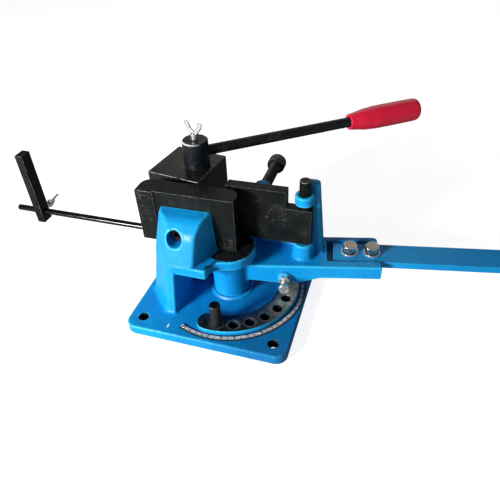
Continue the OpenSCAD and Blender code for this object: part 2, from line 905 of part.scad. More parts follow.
module swing_arm() {
  color("deepskyblue")
    difference() {
      union() {
        on_pivot(hub_bottom) cylinder(r = hub_r, h = hub_top - hub_bottom);
        arm_beam();
        translate([bend_pin_x, bend_pin_y, arm_top - 1]) cylinder(r = boss_r, h = bend_z - arm_top + 1);
        translate([bend_pin_x, bend_pin_y, eye_z]) cylinder(r = eye_r, h = eye_h);
        translate([bend_pin_x - eye_r + 4, bend_pin_y, eye_z]) cube([2 * eye_r - 8, 15, eye_h]);
        on_arm(stop_screw_z)
          translate([stop_screw_x, stop_nut_y, 0])
            along_y() cylinder(r = stop_head_w / 2 + 2.5, h = stop_boss_h + 2);
        arm_post();
        arm_lug();
      }
      on_pivot(hub_bottom - 1) cylinder(d = bush_d + 2 * fit_fixed, h = hub_top - hub_bottom + 2);
      translate([bend_pin_x, bend_pin_y, bend_pin_floor])
        cylinder(d = bend_shank_d + 2 * fit_run, h = notch_z - bend_pin_floor);
      translate([bend_pin_x, bend_pin_y, notch_z])
        cylinder(d = bend_pin_d + 2 * fit_run, h = jaw_h);
      translate([screw_x, lug_front - 1, screw_z])
        along_y() cylinder(d = adjust_d + 2 * fit_run, h = lug_t + 2);
      on_arm(pocket_floor)
        translate([pocket_start, pocket_front, 0]) cube([arm_reach, pocket_w, pocket_h + 1]);
      on_lever(rim_bottom - 1)
        for (x = [-1, 1] * lever_bolt_pitch / 2) translate([x, 0, 0]) cylinder(d = lever_bolt_d + 1, h = rim_h);
      on_arm(stop_screw_z)
        translate([stop_screw_x, stop_nut_y - 1, 0])
          along_y() cylinder(d = stop_screw_d + 2 * fit_run, h = stop_boss_h + stop_screw_in + 8);
    }
}

module bending_plate() {
  color([0.15, 0.16, 0.16])
    difference() {
      translate([bend_left, bend_front, bend_z]) cube([bend_l, bend_t, jaw_h]);
      translate([bend_right - notch_w, bend_front - 1, notch_z])
        cube([notch_w + 1, bend_t + 2, jaw_h]);
      translate([bend_pin_x, bend_pin_y, bend_z - 1])
        cylinder(d = bend_shank_d + 2 * fit_run, h = notch_floor_h + 2);
      translate([bend_right - bend_corner_r, bend_front - 1, bend_z + bend_corner_r])
        along_y()
          difference() {
            cube([bend_corner_r + 1, bend_corner_r + 1, bend_t + 2]);
            translate([0, 0, -1]) cylinder(r = bend_corner_r, h = bend_t + 4);
          }
    }
}

module bending_pin() {
  color([0.12, 0.12, 0.12])
    translate([bend_pin_x, bend_pin_y, 0]) {
      translate([0, 0, bend_pin_floor]) cylinder(d = bend_shank_d, h = notch_z - bend_pin_floor + eps);
      translate([0, 0, notch_z]) cylinder(d = bend_pin_d, h = bend_pin_top - notch_z - 1);
      translate([0, 0, bend_pin_top - 1]) cylinder(d1 = bend_pin_d, d2 = bend_pin_d - 2, h = 1);
    }
}

module adjusting_screw() {
  tip_h = 0.31 * adjust_d;
  color([0.1, 0.1, 0.1])
    translate([screw_x, adjust_tip, screw_z])
      along_y()
        difference() {
          union() {
            cylinder(d1 = 0.38 * adjust_d, d2 = adjust_d, h = tip_h);
            translate([0, 0, tip_h]) cylinder(d = adjust_d, h = adjust_l - tip_h + eps);
            translate([0, 0, adjust_l]) cylinder(d = adjust_head_d, h = adjust_head_h);
          }
          translate([0, 0, adjust_l + 0.5 * adjust_head_h])
            hex_prism(0.875 * adjust_d, adjust_head_h);
        }
}

module lever_bar() {
  end_r = 10;
  start = lever_start - lever_bolt_x;
  color("dodgerblue")
    on_lever(pocket_floor)
      difference() {
        linear_extrude(lever_t) {
          translate([start, -lever_w / 2]) square([lever_l - end_r, lever_w]);
          round_rect(start + lever_l / 2, -lever_w / 2, start + lever_l, lever_w / 2, end_r);
        }
        for (x = [-1, 1] * lever_bolt_pitch / 2)
          translate([x, 0, -1]) cylinder(d = lever_bolt_d + 1, h = lever_t + 2);
      }
}

module lever_bolts() {
  color("silver")
    on_lever(lever_head_z)
      for (x = [-1, 1] * lever_bolt_pitch / 2)
        translate([x, 0, 0]) {
          rotate(12) hex_prism(lever_head_w, lever_head_h);
          translate([0, 0, rim_bottom - lever_nut_h - 2 - lever_head_z])
            cylinder(d = lever_bolt_d, h = lever_head_z - rim_bottom + lever_nut_h + 2 + eps);
        }
}

module lever_washers() {
  color("gainsboro")
    on_lever(lever_top)
      for (x = [-1, 1] * lever_bolt_pitch / 2)
        translate([x, 0, 0])
          difference() {
            cylinder(d = lever_washer_d, h = lever_washer_t);
            translate([0, 0, -1]) cylinder(d = lever_bolt_d + 2 * fit_fixed, h = lever_washer_t + 2);
          }
}

module lever_spring_washers() {
  color("gainsboro")
    on_lever(lever_top + lever_washer_t)
      for (x = [-1, 1] * lever_bolt_pitch / 2)
        translate([x, 0, 0])
          difference() {
            cylinder(d = lever_spring_d, h = lever_spring_t);
            translate([0, 0, -1]) cylinder(d = lever_bolt_d + 2 * fit_fixed, h = lever_spring_t + 2);
            rotate(-60) translate([0, -lever_spring_slit / 2, -1])
              cube([lever_spring_d, lever_spring_slit, lever_spring_t + 2]);
          }
}

module lever_nuts() {
  color("silver")
    on_lever(rim_bottom - lever_nut_h)
      for (x = [-1, 1] * lever_bolt_pitch / 2)
        translate([x, 0, 0])
          difference() {
            hex_prism(lever_head_w, lever_nut_h);
            translate([0, 0, -1]) cylinder(d = lever_bolt_d + 2 * fit_fixed, h = lever_nut_h + 2);
          }
}

module stop_screw() {
  color("silver")
    on_arm(stop_screw_z)
      translate([stop_screw_x, stop_head_y, 0])
        along_y() {
          translate([0, 0, -stop_head_h]) hex_prism(stop_head_w, stop_head_h + eps);
          cylinder(d = stop_screw_d, h = -stop_head_y - arm_front + stop_screw_in);
        }
}

module stop_lock_nut() {
  color("silver")
    on_arm(stop_screw_z)
      translate([stop_screw_x, stop_nut_y - stop_nut_h, 0])
        along_y()
          difference() {
            rotate(15) hex_prism(stop_head_w, stop_nut_h);
            translate([0, 0, -1]) cylinder(d = stop_screw_d + 2 * fit_run, h = stop_nut_h + 2);
          }
}

module stop_rod() {
  color([0.2, 0.2, 0.2])
    translate([die_left - stop_rod_l, stop_rod_y, stop_rod_z])
      along_x() cylinder(d = stop_rod_d, h = stop_rod_l + stop_rod_in);
}

module stop_bar() {
  color([0.16, 0.16, 0.16])
    difference() {
      translate([stop_bar_x - stop_bar_t / 2, stop_rod_y - stop_bar_w / 2, stop_bar_z])
        cube([stop_bar_t, stop_bar_w, stop_bar_h]);
      translate([stop_bar_x - stop_bar_t, stop_rod_y, stop_rod_z])
        along_x() cylinder(d = stop_rod_d + 2 * gap, h = 2 * stop_bar_t);
      translate([stop_bar_x, stop_rod_y, stop_rod_z])
        along_y() cylinder(d = stop_wing_d + 2 * fit_run, h = stop_bar_w);
    }
}

module stop_wing_screw() {
  shank = stop_bar_w / 2 + stop_wing_out - stop_rod_d / 2 - gap;
  color("whitesmoke")
    translate([stop_bar_x, stop_rod_y + stop_bar_w / 2 + stop_wing_out, stop_rod_z])
      along_y() rotate(-52) wing_screw(stop_wing_d, shank, 11, 8, 24, 14);
}

base_casting();
angle_scale();
scale_rivets();
stop_pin();
pivot_pin();
pivot_screws();
thrust_washer();
pivot_bushes();
front_die();
front_die_screw();
die_dowels();
clamp_block();
clamp_shaft();
clamp_washer();
clamp_nut();
clamp_lever_rod();
clamp_grip();
clamp_wing_screw();
swing_arm();
bending_plate();
bending_pin();
adjusting_screw();
lever_bar();
lever_bolts();
lever_washers();
lever_spring_washers();
lever_nuts();
stop_screw();
stop_lock_nut();
stop_rod();
stop_bar();
stop_wing_screw();
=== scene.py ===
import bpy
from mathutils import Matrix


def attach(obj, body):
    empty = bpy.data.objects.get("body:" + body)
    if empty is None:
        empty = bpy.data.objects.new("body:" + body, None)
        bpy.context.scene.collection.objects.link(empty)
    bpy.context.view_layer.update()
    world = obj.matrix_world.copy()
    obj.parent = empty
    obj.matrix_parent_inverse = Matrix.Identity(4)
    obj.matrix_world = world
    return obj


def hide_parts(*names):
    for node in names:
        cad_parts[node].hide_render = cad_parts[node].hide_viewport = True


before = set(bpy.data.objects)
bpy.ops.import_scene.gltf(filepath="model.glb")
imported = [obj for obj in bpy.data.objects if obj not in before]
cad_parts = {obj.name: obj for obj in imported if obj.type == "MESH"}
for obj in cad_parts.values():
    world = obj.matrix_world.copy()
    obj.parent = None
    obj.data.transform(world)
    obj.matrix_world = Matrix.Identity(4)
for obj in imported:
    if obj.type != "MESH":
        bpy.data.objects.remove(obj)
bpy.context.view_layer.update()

import math
import bmesh
import bpy
import numpy as np
from mathutils import Matrix, Vector


# Base casting: one iron casting of plate, foot, walls, table, die column and the arc of stop holes.
# Sky-blue gloss enamel over a sand-cast skin; the arc's top and the ring round the pivot are machined bare.
# It stands on the bench by four bolts and carries everything else. Sizes are in millimetres and degrees.
PIVOT = np.array([6.5, -1.5])
PLATE_HALF, PLATE_TOP, BENCH_HOLE = 115, 15.5, 94
ARC_PAD, PAD_TOP = (67.5, 98.4, -95, 10.8), 23.2
STOP_RING, STOP_FIRST, STOP_STEP = 86, -85.7, 15.3
TABLE_LOW, TABLE_TOP, WALL_TOP, NOSE_R = 76, 91, 84, 36.5
BENCH_R, STOP_R, HOLE_RIM = 6.75, 6.7, 7.3
PIN_R, FLANGE_R, CLAMP_R, SCREW_R, SCREW_HEAD_R = 12.1, 24.6, 10.3, 6.6, 11
CLAMP_AXIS = np.array([-60.7, 69.2])
DIE_SCREW_X, DIE_SCREW_Z = -52, 125.5
FOOT_MIDDLE, COLUMN_MIDDLE = (-70, -30, 50), (-50, -30, 110)
FOOT_PLANES = [
    [(-60, -77.4, 15.5), (-52, -77.4, 15.5), (-52, -62.2, 91)],  # front
    [(-66, -77.4, 15.5), (-105, -35.5, 15.5), (-63.5, -62.2, 91)],  # left front corner
    [(-104.5, -30, 15.5), (-104.5, -10, 15.5), (-94, -10, 91)],  # left
    [(-52.5, -30, 15.5), (-52.5, -10, 15.5), (-52.5, -10, 91)],  # right
    [(-90, -10, 15.5), (-52.5, -10, 15.5), (-52.5, -10, 91)],  # back
    [(-90, -10, 90), (-52.5, -10, 90), (-52.5, -60, 90)],  # top, inside the table
]
COLUMN_PLANES = [
    [(-60, -62.2, 91), (-30, -62.2, 91), (-30, -48.5, 132.8)],  # front
    [(-60, -48.5, 132.8), (-30, -48.5, 132.8), (-30, -33, 147.2)],  # slope over the front
    [(-60, -33, 147.1), (-30, -33, 147.3), (-30, -11.5, 150.6)],  # top
    [(-63.5, -62.2, 91), (-93.5, -32.2, 91), (-66.5, -42, 137.4)],  # left front corner
    [(-94, -30, 91), (-94, -10, 91), (-84.6, -10, 149)],  # left
    [(-23.5, -57, 93), (-17.8, -30, 147.8), (-7.8, -11.5, 91)],  # right
    [(-60, -30, 80), (-30, -30, 80), (-30, -10, 80)],  # foot of it, inside the table
    [(-60, -5, 70), (-30, -5, 70), (-30, -5, 90)],  # back, behind the die's seat
]


def soft_min(a, b, k):
    """Lesser of two distances, blended by a parabola of width k where they are about equal."""
    h = np.clip(0.5 + 0.5 * (b - a) / k, 0, 1)
    return b + (a - b) * h - k * h * (1 - h)


def soft_max(a, b, k):
    """Greater of two distances, blended by a parabola of width k where they are about equal."""
    return -soft_min(-a, -b, k)


def between(v, low, high):
    """Distance along one axis to the stretch from low to high, negative inside it."""
    return np.maximum(low - v, v - high)


def hewn(x, y, z, middle, planes, k):
    """Distance to a block cut by flat planes, each through three points with the block's middle behind it:
    the greatest of the distances to the planes, rounded over a width k."""
    d = None
    for plane in planes:
        a, b, c = np.array(plane, float)
        n = np.cross(b - a, c - a)
        n = n / np.linalg.norm(n) * (-1 if n @ (middle - a) > 0 else 1)
        side = (x - a[0]) * n[0] + (y - a[1]) * n[1] + (z - a[2]) * n[2]
        d = side if d is None else soft_max(d, side, k)
    return d


def round_plate(x, y, x0, y0, x1, y1, r):
    """Distance in plan to a rectangle with corner radius r."""
    qx = np.abs(x - (x0 + x1) / 2) - (x1 - x0) / 2 + r
    qy = np.abs(y - (y0 + y1) / 2) - (y1 - y0) / 2 + r
    return np.hypot(np.maximum(qx, 0), np.maximum(qy, 0)) + np.minimum(np.maximum(qx, qy), 0) - r


def arc_band(x, y, r0, r1, a0, a1):
    """Distance in plan to a band about the pivot from radius r0 to r1 and angle a0 to a1, with round
    ends."""
    r, a = np.hypot(x - PIVOT[0], y - PIVOT[1]), np.arctan2(y - PIVOT[1], x - PIVOT[0])
    mid, half = (r0 + r1) / 2, (r1 - r0) / 2
    turn = (a - math.radians((a0 + a1) / 2) + math.pi) % (2 * math.pi) - math.pi
    past = np.maximum(np.abs(turn) - math.radians((a1 - a0) / 2), 0)
    chord = np.sqrt(np.maximum(r * r + mid * mid - 2 * r * mid * np.cos(past), 0))
    return np.where(past > 0, chord, np.abs(r - mid)) - half


def skin(distance, low, high, step):
    """Mesh of the zero level of a distance function: one vertex in each grid cell that the level crosses,
    at the mean of its crossings of the cell's edges, then slid along the gradient on to the level; one quad
    for each grid edge that crosses the level. Gives points, quads, unit normals and the surface's
    curvature."""
    axes = [np.arange(a, b + step, step) for a, b in zip(low, high)]
    d = distance(*np.meshgrid(*axes, indexing="ij"))
    inside, n = d < 0, np.array(d.shape) - 1

    def part(values, c):
        """Values at corner c of every cell."""
        return values[c[0] : c[0] + n[0], c[1] : c[1] + n[1], c[2] : c[2] + n[2]]

    corners = [(i, j, k) for i in (0, 1) for j in (0, 1) for k in (0, 1)]
    count = sum(part(inside, c).astype(np.int8) for c in corners)
    crossed = (count > 0) & (count < 8)
    cell = np.argwhere(crossed)
    number = np.full(n, -1, np.int64)
    number[crossed] = np.arange(len(cell))
    total, hits = np.zeros((len(cell), 3)), np.zeros(len(cell))
    for c in corners:
        for axis in range(3):
            if c[axis] == 0:
                a, b = part(d, c)[crossed], part(d, tuple(np.add(c, np.eye(3, dtype=int)[axis])))[crossed]
                hit = (a < 0) != (b < 0)
                p = np.tile(np.array(c, float), (len(cell), 1))
                p[:, axis] = np.where(hit, a / np.where(hit, a - b, 1), 0)
                total += hit[:, None] * p
                hits += hit
    points = np.array(low) + step * (cell + total / hits[:, None])

    def slope(p, h):
        """Gradient of the distance, from its differences over h to each side."""
        return np.stack([distance(*(p + s).T) - distance(*(p - s).T) for s in h * np.eye(3)], 1) / (2 * h)

    for _ in range(3):
        g = slope(points, 0.1 * step)
        move = -(distance(*points.T) / np.maximum((g**2).sum(1), 0.3))[:, None] * g
        points += np.clip(move, -0.5 * step, 0.5 * step)
    g = slope(points, 0.12 * step)
    normals = g / np.maximum(np.linalg.norm(g, axis=1), 1e-6)[:, None]
    h = 0.9 * step
    bend = sum(distance(*(points + s).T) + distance(*(points - s).T) for s in h * np.eye(3)) / h**2
    quads = []
    for a in range(3):
        b, c = (a + 1) % 3, (a + 2) % 3
        near, far = [slice(1, -1)] * 3, [slice(1, -1)] * 3
        near[a], far[a] = slice(0, -1), slice(1, None)
        near, far = inside[tuple(near)], inside[tuple(far)]
        at = np.argwhere(near != far)
        at[:, b] += 1
        at[:, c] += 1
        ring = []
        for i, j in ((-1, -1), (0, -1), (0, 0), (-1, 0)):
            q = at.copy()
            q[:, b] += i
            q[:, c] += j
            ring.append(number[tuple(q.T)])
        ring = np.stack(ring, 1)
        out = near[near != far]
        quads.append(np.where(out[:, None], ring, ring[:, ::-1]))
    return points, np.concatenate(quads), normals, bend


def area_normals(mesh):
    """Vertex normals as the sum of the normals of the faces round each vertex, each times its area."""
    n, area = np.zeros(3 * len(mesh.polygons)), np.zeros(len(mesh.polygons))
    count, vertex = np.zeros(len(mesh.polygons), int), np.zeros(len(mesh.loops), int)
    mesh.polygons.foreach_get("normal", n)
    mesh.polygons.foreach_get("area", area)
    mesh.polygons.foreach_get("loop_total", count)
    mesh.loops.foreach_get("vertex_index", vertex)
    total = np.zeros((len(mesh.vertices), 3))
    np.add.at(total, vertex, np.repeat(n.reshape(-1, 3) * area[:, None], count, axis=0))
    return total / np.maximum(np.linalg.norm(total, axis=1), 1e-12)[:, None]


def linked(name, data):
    """New object of a mesh, lamp or camera in the scene."""
    made = bpy.data.objects.new(name, data)
    bpy.context.scene.collection.objects.link(made)
    return made


def install(name, mesh, body, nodes, material, normals=None):
    """Smooth object of a finished mesh, riding a body and standing for CAD nodes. Without given normals,
    each vertex takes the mean of its faces' normals weighted by area."""
    mesh.materials.clear()
    mesh.materials.append(material)
    mesh.polygons.foreach_set("use_smooth", np.ones(len(mesh.polygons), bool))
    normals = area_normals(mesh) if normals is None else normals
    mesh.normals_split_custom_set_from_vertices(normals.tolist())
    piece = linked(name, mesh)
    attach(piece, body)
    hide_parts(*nodes)


def put(name, points, faces, body, slot, nodes, material, normals=None, values=None):
    """Installs a mesh of points in millimetres and faces, with values as attributes of its vertices."""
    mesh = bpy.data.meshes.new(name)
    mesh.from_pydata((points / 1000).tolist(), [], faces.tolist())
    for key, v in (values or {}).items():
        mesh.attributes.new(key, "FLOAT", "POINT").data.foreach_set("value", np.asarray(v, np.float32))
    install(name, mesh, body, nodes, material, normals)


def stop_hole(x, y):
    """Distance in plan from the nearest of the six stop holes' axes, which lie on a ring at equal
    angles."""
    px, py = x - PIVOT[0], y - PIVOT[1]
    k = np.clip(np.round((np.degrees(np.arctan2(py, px)) - STOP_FIRST) / STOP_STEP), 0, 5)
    a = np.radians(STOP_FIRST + STOP_STEP * k)
    return np.hypot(px - STOP_RING * np.cos(a), py - STOP_RING * np.sin(a))


def bench_hole(x, y):
    """Distance in plan from the nearest of the four bench holes' axes."""
    return np.hypot(np.abs(x) - BENCH_HOLE, np.abs(y) - BENCH_HOLE)


def base_distance(x, y, z):
    """Distance to the base casting: its blocks joined by soft minima, less its holes and the die's seat."""
    py = y - PIVOT[1]
    r = np.hypot(x - PIVOT[0], py)
    clamp = np.hypot(x - CLAMP_AXIS[0], y - CLAMP_AXIS[1])
    outline = round_plate(x, y, -PLATE_HALF, -PLATE_HALF, PLATE_HALF, PLATE_HALF, 16)
    d = soft_max(outline, between(z, 0, PLATE_TOP), 2.5)
    d = soft_min(d, soft_max(arc_band(x, y, *ARC_PAD), between(z, 2, PAD_TOP), 1.4), 1.6)
    hub_land = soft_max(r - 29.5, between(z, 2, 16.5), 1.6)
    d = soft_min(d, hub_land, 5)
    foot = hewn(x, y, z, FOOT_MIDDLE, FOOT_PLANES, 4)
    d = soft_min(d, np.maximum(foot, 6 - z), 6)
    draft = (z - 13.5) / 64.5
    wall = soft_max(between(x, -102.5 + 12 * draft, -83.5 + 4 * draft), between(y, -23.5, 103), 4)
    d = soft_min(d, soft_max(wall, between(z, 10, WALL_TOP), 2), 6)
    back = soft_max(between(x, -90, -31.5), between(y, 90.5, 101.5), 4)
    d = soft_min(d, soft_max(back, between(z, 10, WALL_TOP), 2), 6)
    table = soft_max(round_plate(x, y, -93.5, -62.4, -6.5, 104.5, 4), (-125.7 - x - y) / math.sqrt(2), 6)
    web = np.maximum(between(x, -11.5, 30), np.maximum(-py - NOSE_R - 0.54 * (9.5 - x), py))
    plan = soft_min(soft_min(table, web, 5), r - NOSE_R, 5)
    d = soft_min(d, soft_max(plan, between(z, TABLE_LOW, TABLE_TOP), 2.2), 2.5)
    # the column's fillet on the table widens to its right
    column = hewn(x, y, z, COLUMN_MIDDLE, COLUMN_PLANES, 4)
    d = soft_min(d, soft_max(column, table, 0.8), 1.6 + 5 * np.clip((x + 26) / 10, 0, 1))
    d = soft_min(d, soft_max(clamp - 21, between(z, 72, 80), 1.2), 1.5)
    d = np.maximum(d, -z)
    # the die's seat, then the holes
    d = soft_max(d, -np.maximum(np.maximum(TABLE_TOP - z, -11.5 - y), between(x, -130, 30)), 0.4)
    d = soft_max(d, -np.maximum(np.maximum(TABLE_TOP - z, -14.3 - y), x + 93.2), 0.4)
    d = soft_max(d, BENCH_R - bench_hole(x, y), 1.0)
    d = soft_max(d, STOP_R - stop_hole(x, y), 0.8)
    d = soft_max(d, -np.maximum(r - FLANGE_R, z - 5.6), 0.4)
    d = soft_max(d, -np.maximum(r - PIN_R, z - 87.8), 0.3)
    d = soft_max(d, -np.maximum(clamp - CLAMP_R, 60 - z), 0.5)
    screw = np.hypot(x - DIE_SCREW_X, z - DIE_SCREW_Z)
    d = soft_max(d, -np.maximum(screw - SCREW_HEAD_R, y + 26), 2.4)
    return soft_max(d, -np.maximum(screw - SCREW_R, between(y, -60, -8)), 0.4)


class Finish:
    """A material in the making, called f: its tree, its shader and its Object coordinates. Each method adds
    nodes and gives the socket that comes out of them."""

    def __init__(self, owner, shader="Principled BSDF"):
        owner.use_nodes = True
        self.owner, self.tree = owner, owner.node_tree
        self.shader = self.tree.nodes[shader]
        self.place = self.node("ShaderNodeTexCoord").outputs["Object"]

    def feed(self, made, inputs):
        """Puts a value or a link on each named input of a node."""
        for socket, value in inputs.items():
            if isinstance(value, bpy.types.NodeSocket):
                self.tree.links.new(value, made.inputs[socket])
            else:
                made.inputs[socket].default_value = value

    def give(self, inputs):
        """Puts values or links on the shader's inputs."""
        self.feed(self.shader, inputs)

    def node(self, kind, inputs=None, **settings):
        """New node with settings on it and values or links on its inputs."""
        made = self.tree.nodes.new(kind)
        for key, value in settings.items():
            setattr(made, key, value)
        self.feed(made, inputs or {})
        return made

    def attribute(self, name):
        """The piece's own vertex attribute of that name, 0 where it has none."""
        return self.node("ShaderNodeAttribute", attribute_name=name).outputs["Fac"]

    def noise(self, scale, detail=3.0, rough=0.55, place=None):
        """Noise of so many grains to the metre."""
        place = self.place if place is None else place
        inputs = {"Vector": place, "Scale": scale, "Detail": detail, "Roughness": rough}
        return self.node("ShaderNodeTexNoise", inputs).outputs["Fac"]

    def ramp(self, value, low, high, start=0.0, end=1.0):
        """Value carried from the range low..high to start..end, held at its ends."""
        inputs = {"Value": value, "From Min": low, "From Max": high, "To Min": start, "To Max": end}
        return self.node("ShaderNodeMapRange", inputs).outputs["Result"]

    def calc(self, operation, *values):
        """One arithmetic step on values or sockets."""
        return self.node("ShaderNodeMath", dict(enumerate(values)), operation=operation).outputs[0]

    def times(self, a, b):
        """Product of two values or sockets."""
        return self.calc("MULTIPLY", a, b)

    def vector(self, operation, a, b=(0, 0, 0)):
        """One step on vectors; a length or a distance comes out as a number."""
        made = self.node("ShaderNodeVectorMath", {0: a, 1: b}, operation=operation)
        return made.outputs["Value" if operation in ("LENGTH", "DISTANCE") else "Vector"]

    def blend(self, share, *ends):
        """Colour that goes from the first end to the second as share goes from 0 to 1."""
        a, b = [end if isinstance(end, bpy.types.NodeSocket) else (*end, 1) for end in ends]
        return self.node("ShaderNodeMix", {0: share, 6: a, 7: b}, data_type="RGBA").outputs[2]

    def bumps(self, *layers):
        """Stacks height patterns, each with a depth in metres, on the shader's normal."""
        last = {}
        for height, depth in layers:
            inputs = {"Height": height, "Distance": depth, "Strength": 1.0, **last}
            last = {"Normal": self.node("ShaderNodeBump", inputs).outputs["Normal"]}
        self.give(last)

    def polar(self, centre):
        """Radius and angle of the Object coordinates about an upright axis."""
        off = self.vector("SUBTRACT", self.place, (*centre, 0))
        x, y, _ = self.node("ShaderNodeSeparateXYZ", {0: off}).outputs
        r = self.calc("SQRT", self.calc("ADD", self.times(x, x), self.times(y, y)))
        return r, self.calc("ARCTAN2", y, x)


def turned_iron(f):
    """Colour of machined iron: stained clouds with a blue tinge on the arc's inner side, rubbed bright by
    the polish attribute, and turning marks as noise stretched round the pivot."""
    r, a = f.polar(PIVOT / 1000)
    swirl = f.node("ShaderNodeCombineXYZ", {0: r, 1: f.times(a, 0.006)}).outputs[0]
    stain = f.ramp(f.noise(48, 6, 0.65), 0.4, 0.68)
    iron = f.blend(stain, (0.006, 0.008, 0.009), (0.035, 0.045, 0.055))
    tinge = f.times(f.ramp(r, 0.09, 0.07, 0, 0.7), f.ramp(r, 0.05, 0.06))
    iron = f.blend(tinge, iron, (0.004, 0.045, 0.12))
    worn = f.ramp(f.noise(90, 5, 0.65), 0.3, 0.62, 0.25, 1)
    iron = f.blend(f.times(f.attribute("polish"), worn), iron, (0.52, 0.52, 0.44))
    marks = f.ramp(f.noise(1100, 4, 0.7, swirl), 0.5, 0.8, 0, 0.35)
    return f.blend(marks, iron, (0.12, 0.14, 0.15))


CHIP_AT, CHIP_SPREAD = (-0.0537, -0.1009, 0.0155), (800, 270, 1000)


def enamel(name, colour, deep, cast):
    """Gloss enamel in clouds from deep to colour; darkened to navy where the edge attribute is below 0, as
    grime and painted shade in hollows; thin, chipped and lightened where it is above, as worn paint and a
    painted highlight on crests; mottled; and darkened by the attribute of painted shade. On a casting the
    bare attribute shows turned iron, the attribute of a painted highlight a bright lip, and one chip in the
    plate's paint is an ellipse about its place."""
    f = Finish(bpy.data.materials.new(name))
    edge = f.attribute("edge")
    paint = f.blend(f.ramp(f.noise(14, 4), 0.3, 0.7), deep, colour)
    # painted shade and grime: navy in hollows where the edge attribute is below 0
    paint = f.blend(f.ramp(edge, -0.1, -0.9, 0, 0.85), paint, (0.001, 0.02, 0.06))
    # worn paint and a painted highlight: lighter cyan on crests
    paint = f.blend(f.ramp(edge, 0.06, 0.35, 0, 0.55), paint, (0.05, 0.68, 0.95))
    mottle = f.ramp(f.noise(210, 4, 0.7), 0.42, 0.68, 0, 0.22)
    paint = f.blend(mottle, paint, (0.002, 0.2, 0.55))
    # painted shade: darker blue by the attribute of painted shade
    paint = f.blend(f.attribute("painted_shade"), paint, (0.002, 0.12, 0.36))
    chips = f.times(f.ramp(f.noise(160, 6, 0.7), 0.6, 0.66), f.ramp(edge, 0.12, 0.3))
    paint = f.blend(f.times(chips, 0.55), paint, (0.45, 0.62, 0.7))
    rough = f.ramp(f.noise(45, 5), 0.3, 0.75, 0.4, 0.58)
    metallic, coat, swell = 0.0, 0.35, 0.0003
    if cast:
        bare = f.attribute("bare")
        paint = f.blend(bare, paint, turned_iron(f))
        # painted highlight: pale cyan on the hub land's lip
        paint = f.blend(f.attribute("painted_glint"), paint, (0.5, 0.85, 0.95))
        off = f.vector("MULTIPLY", f.vector("SUBTRACT", f.place, CHIP_AT), CHIP_SPREAD)
        chip = f.ramp(f.vector("LENGTH", off), 1.15, 0.85)
        paint = f.blend(chip, paint, (0.9, 0.93, 0.93))
        rough = f.calc("MAXIMUM", rough, f.times(bare, 0.42))
        metallic, coat, swell = f.times(bare, 0.5), f.ramp(bare, 0, 1, coat, 0), 0.0012
    f.give({"Base Color": paint, "Roughness": rough, "Metallic": metallic, "Coat Weight": coat})
    f.give({"Coat Roughness": 0.3, "Specular IOR Level": 0.12})
    f.bumps((f.noise(60, 2), swell), (f.noise(620, 2), 0.00012))
    f.give({"Coat Normal": f.shader.inputs["Normal"].links[0].from_socket})
    return f.owner


blue = enamel("blue_enamel", (0.004, 0.38, 0.84), (0.003, 0.3, 0.74), cast=True)
points, quads, normals, bend = skin(base_distance, (-118.3, -118.3, -3.2), (118.3, 118.3, 154), step=1.75)
x, y, z = points.T
r, a = np.hypot(x - PIVOT[0], y - PIVOT[1]), np.degrees(np.arctan2(y - PIVOT[1], x - PIVOT[0]))
on_pad = (arc_band(x, y, *ARC_PAD) < -0.5) & (np.abs(z - PAD_TOP) < 0.3)
on_ring = (r < 35.2) & (np.abs(z - TABLE_TOP) < 0.3)
drilled = (stop_hole(x, y) < HOLE_RIM) & (z < PAD_TOP + 0.2)
drilled |= (bench_hole(x, y) < HOLE_RIM) & (z < PLATE_TOP + 0.1)
# painted shade: the die screw's bore is marked for a darker colour
shaded_bore = (np.hypot(x - DIE_SCREW_X, z - DIE_SCREW_Z) < SCREW_HEAD_R + 0.3) & (y < -20) & (y > -50)
# painted shade: a dark line from the table's front corner along the nose, in colour only
shade_line_x, shade_line_y, run_x, run_y = x + 9.8, y + 55, 11, 17.4
t = np.clip((shade_line_x * run_x + shade_line_y * run_y) / (run_x**2 + run_y**2), 0, 1)
shade_line = (np.hypot(shade_line_x - run_x * t, shade_line_y - run_y * t) < 1.7) & (np.abs(z - 92) < 4)
# the pad is rubbed under the stop screw and round its holes
rubbed = np.exp(-(((a + 6) / 24) ** 2)) * np.clip((r - 70) / 10, 0, 1) * on_pad
rim = np.exp(-(((stop_hole(x, y) - 8.2) / 1.6) ** 2)) * on_pad
put(
    "base_casting_cast", points, quads, "base", "blue_enamel", ["base_casting"], blue, normals,
    {
        # edge: crests and hollows from the bend, with painted shade laid in the die screw's bore and along a
        # line by the nose
        "edge": np.where(shade_line, -0.9, np.where(shaded_bore, -0.45, np.clip(bend, -0.55, 1))),
        "bare": (on_pad | on_ring | drilled) * 1.0,
        "polish": np.maximum(rubbed, 0.3 * rim),
        # painted shade: the plate's top darker towards the right
        "painted_shade": 0.72 * np.clip((x + 70) / 140, 0, 1) * (z < 17),
        # painted highlight on the lip of the hub's land, at its front
        "painted_glint": np.exp(-(((r - 30.3) / 1.2) ** 2) - ((a + 94) / 16) ** 2) * (z < 19),
    },
)


# Pivot: flanged pin with its two flange screws from below, thrust washer and bronze bushes inside the hub.
# Ground steel and bearing bronze, almost wholly hidden. The pin is screwed up into the base, and the
# bushes ride the arm.
def metal(name, dark, light, shine, grain, metallic=1.0):
    """Bare metal: two tones in clouds, roughness that varies about shine, and fine grain."""
    f = Finish(bpy.data.materials.new(name))
    cloud = f.ramp(f.noise(70, 5, 0.65), 0.35, 0.68)
    rough = f.ramp(f.noise(240, 4), 0.3, 0.7, shine, shine + 0.16)
    f.give({"Base Color": f.blend(cloud, dark, light), "Roughness": rough, "Metallic": metallic})
    f.bumps((f.noise(grain, 3), 0.00005))
    return f.owner


def dress(material, slot, *nodes):
    """Gives CAD nodes that keep their shape a material. The slot is not used."""
    for name in nodes:
        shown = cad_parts[name]
        shown.data.materials.clear()
        shown.data.materials.append(material)


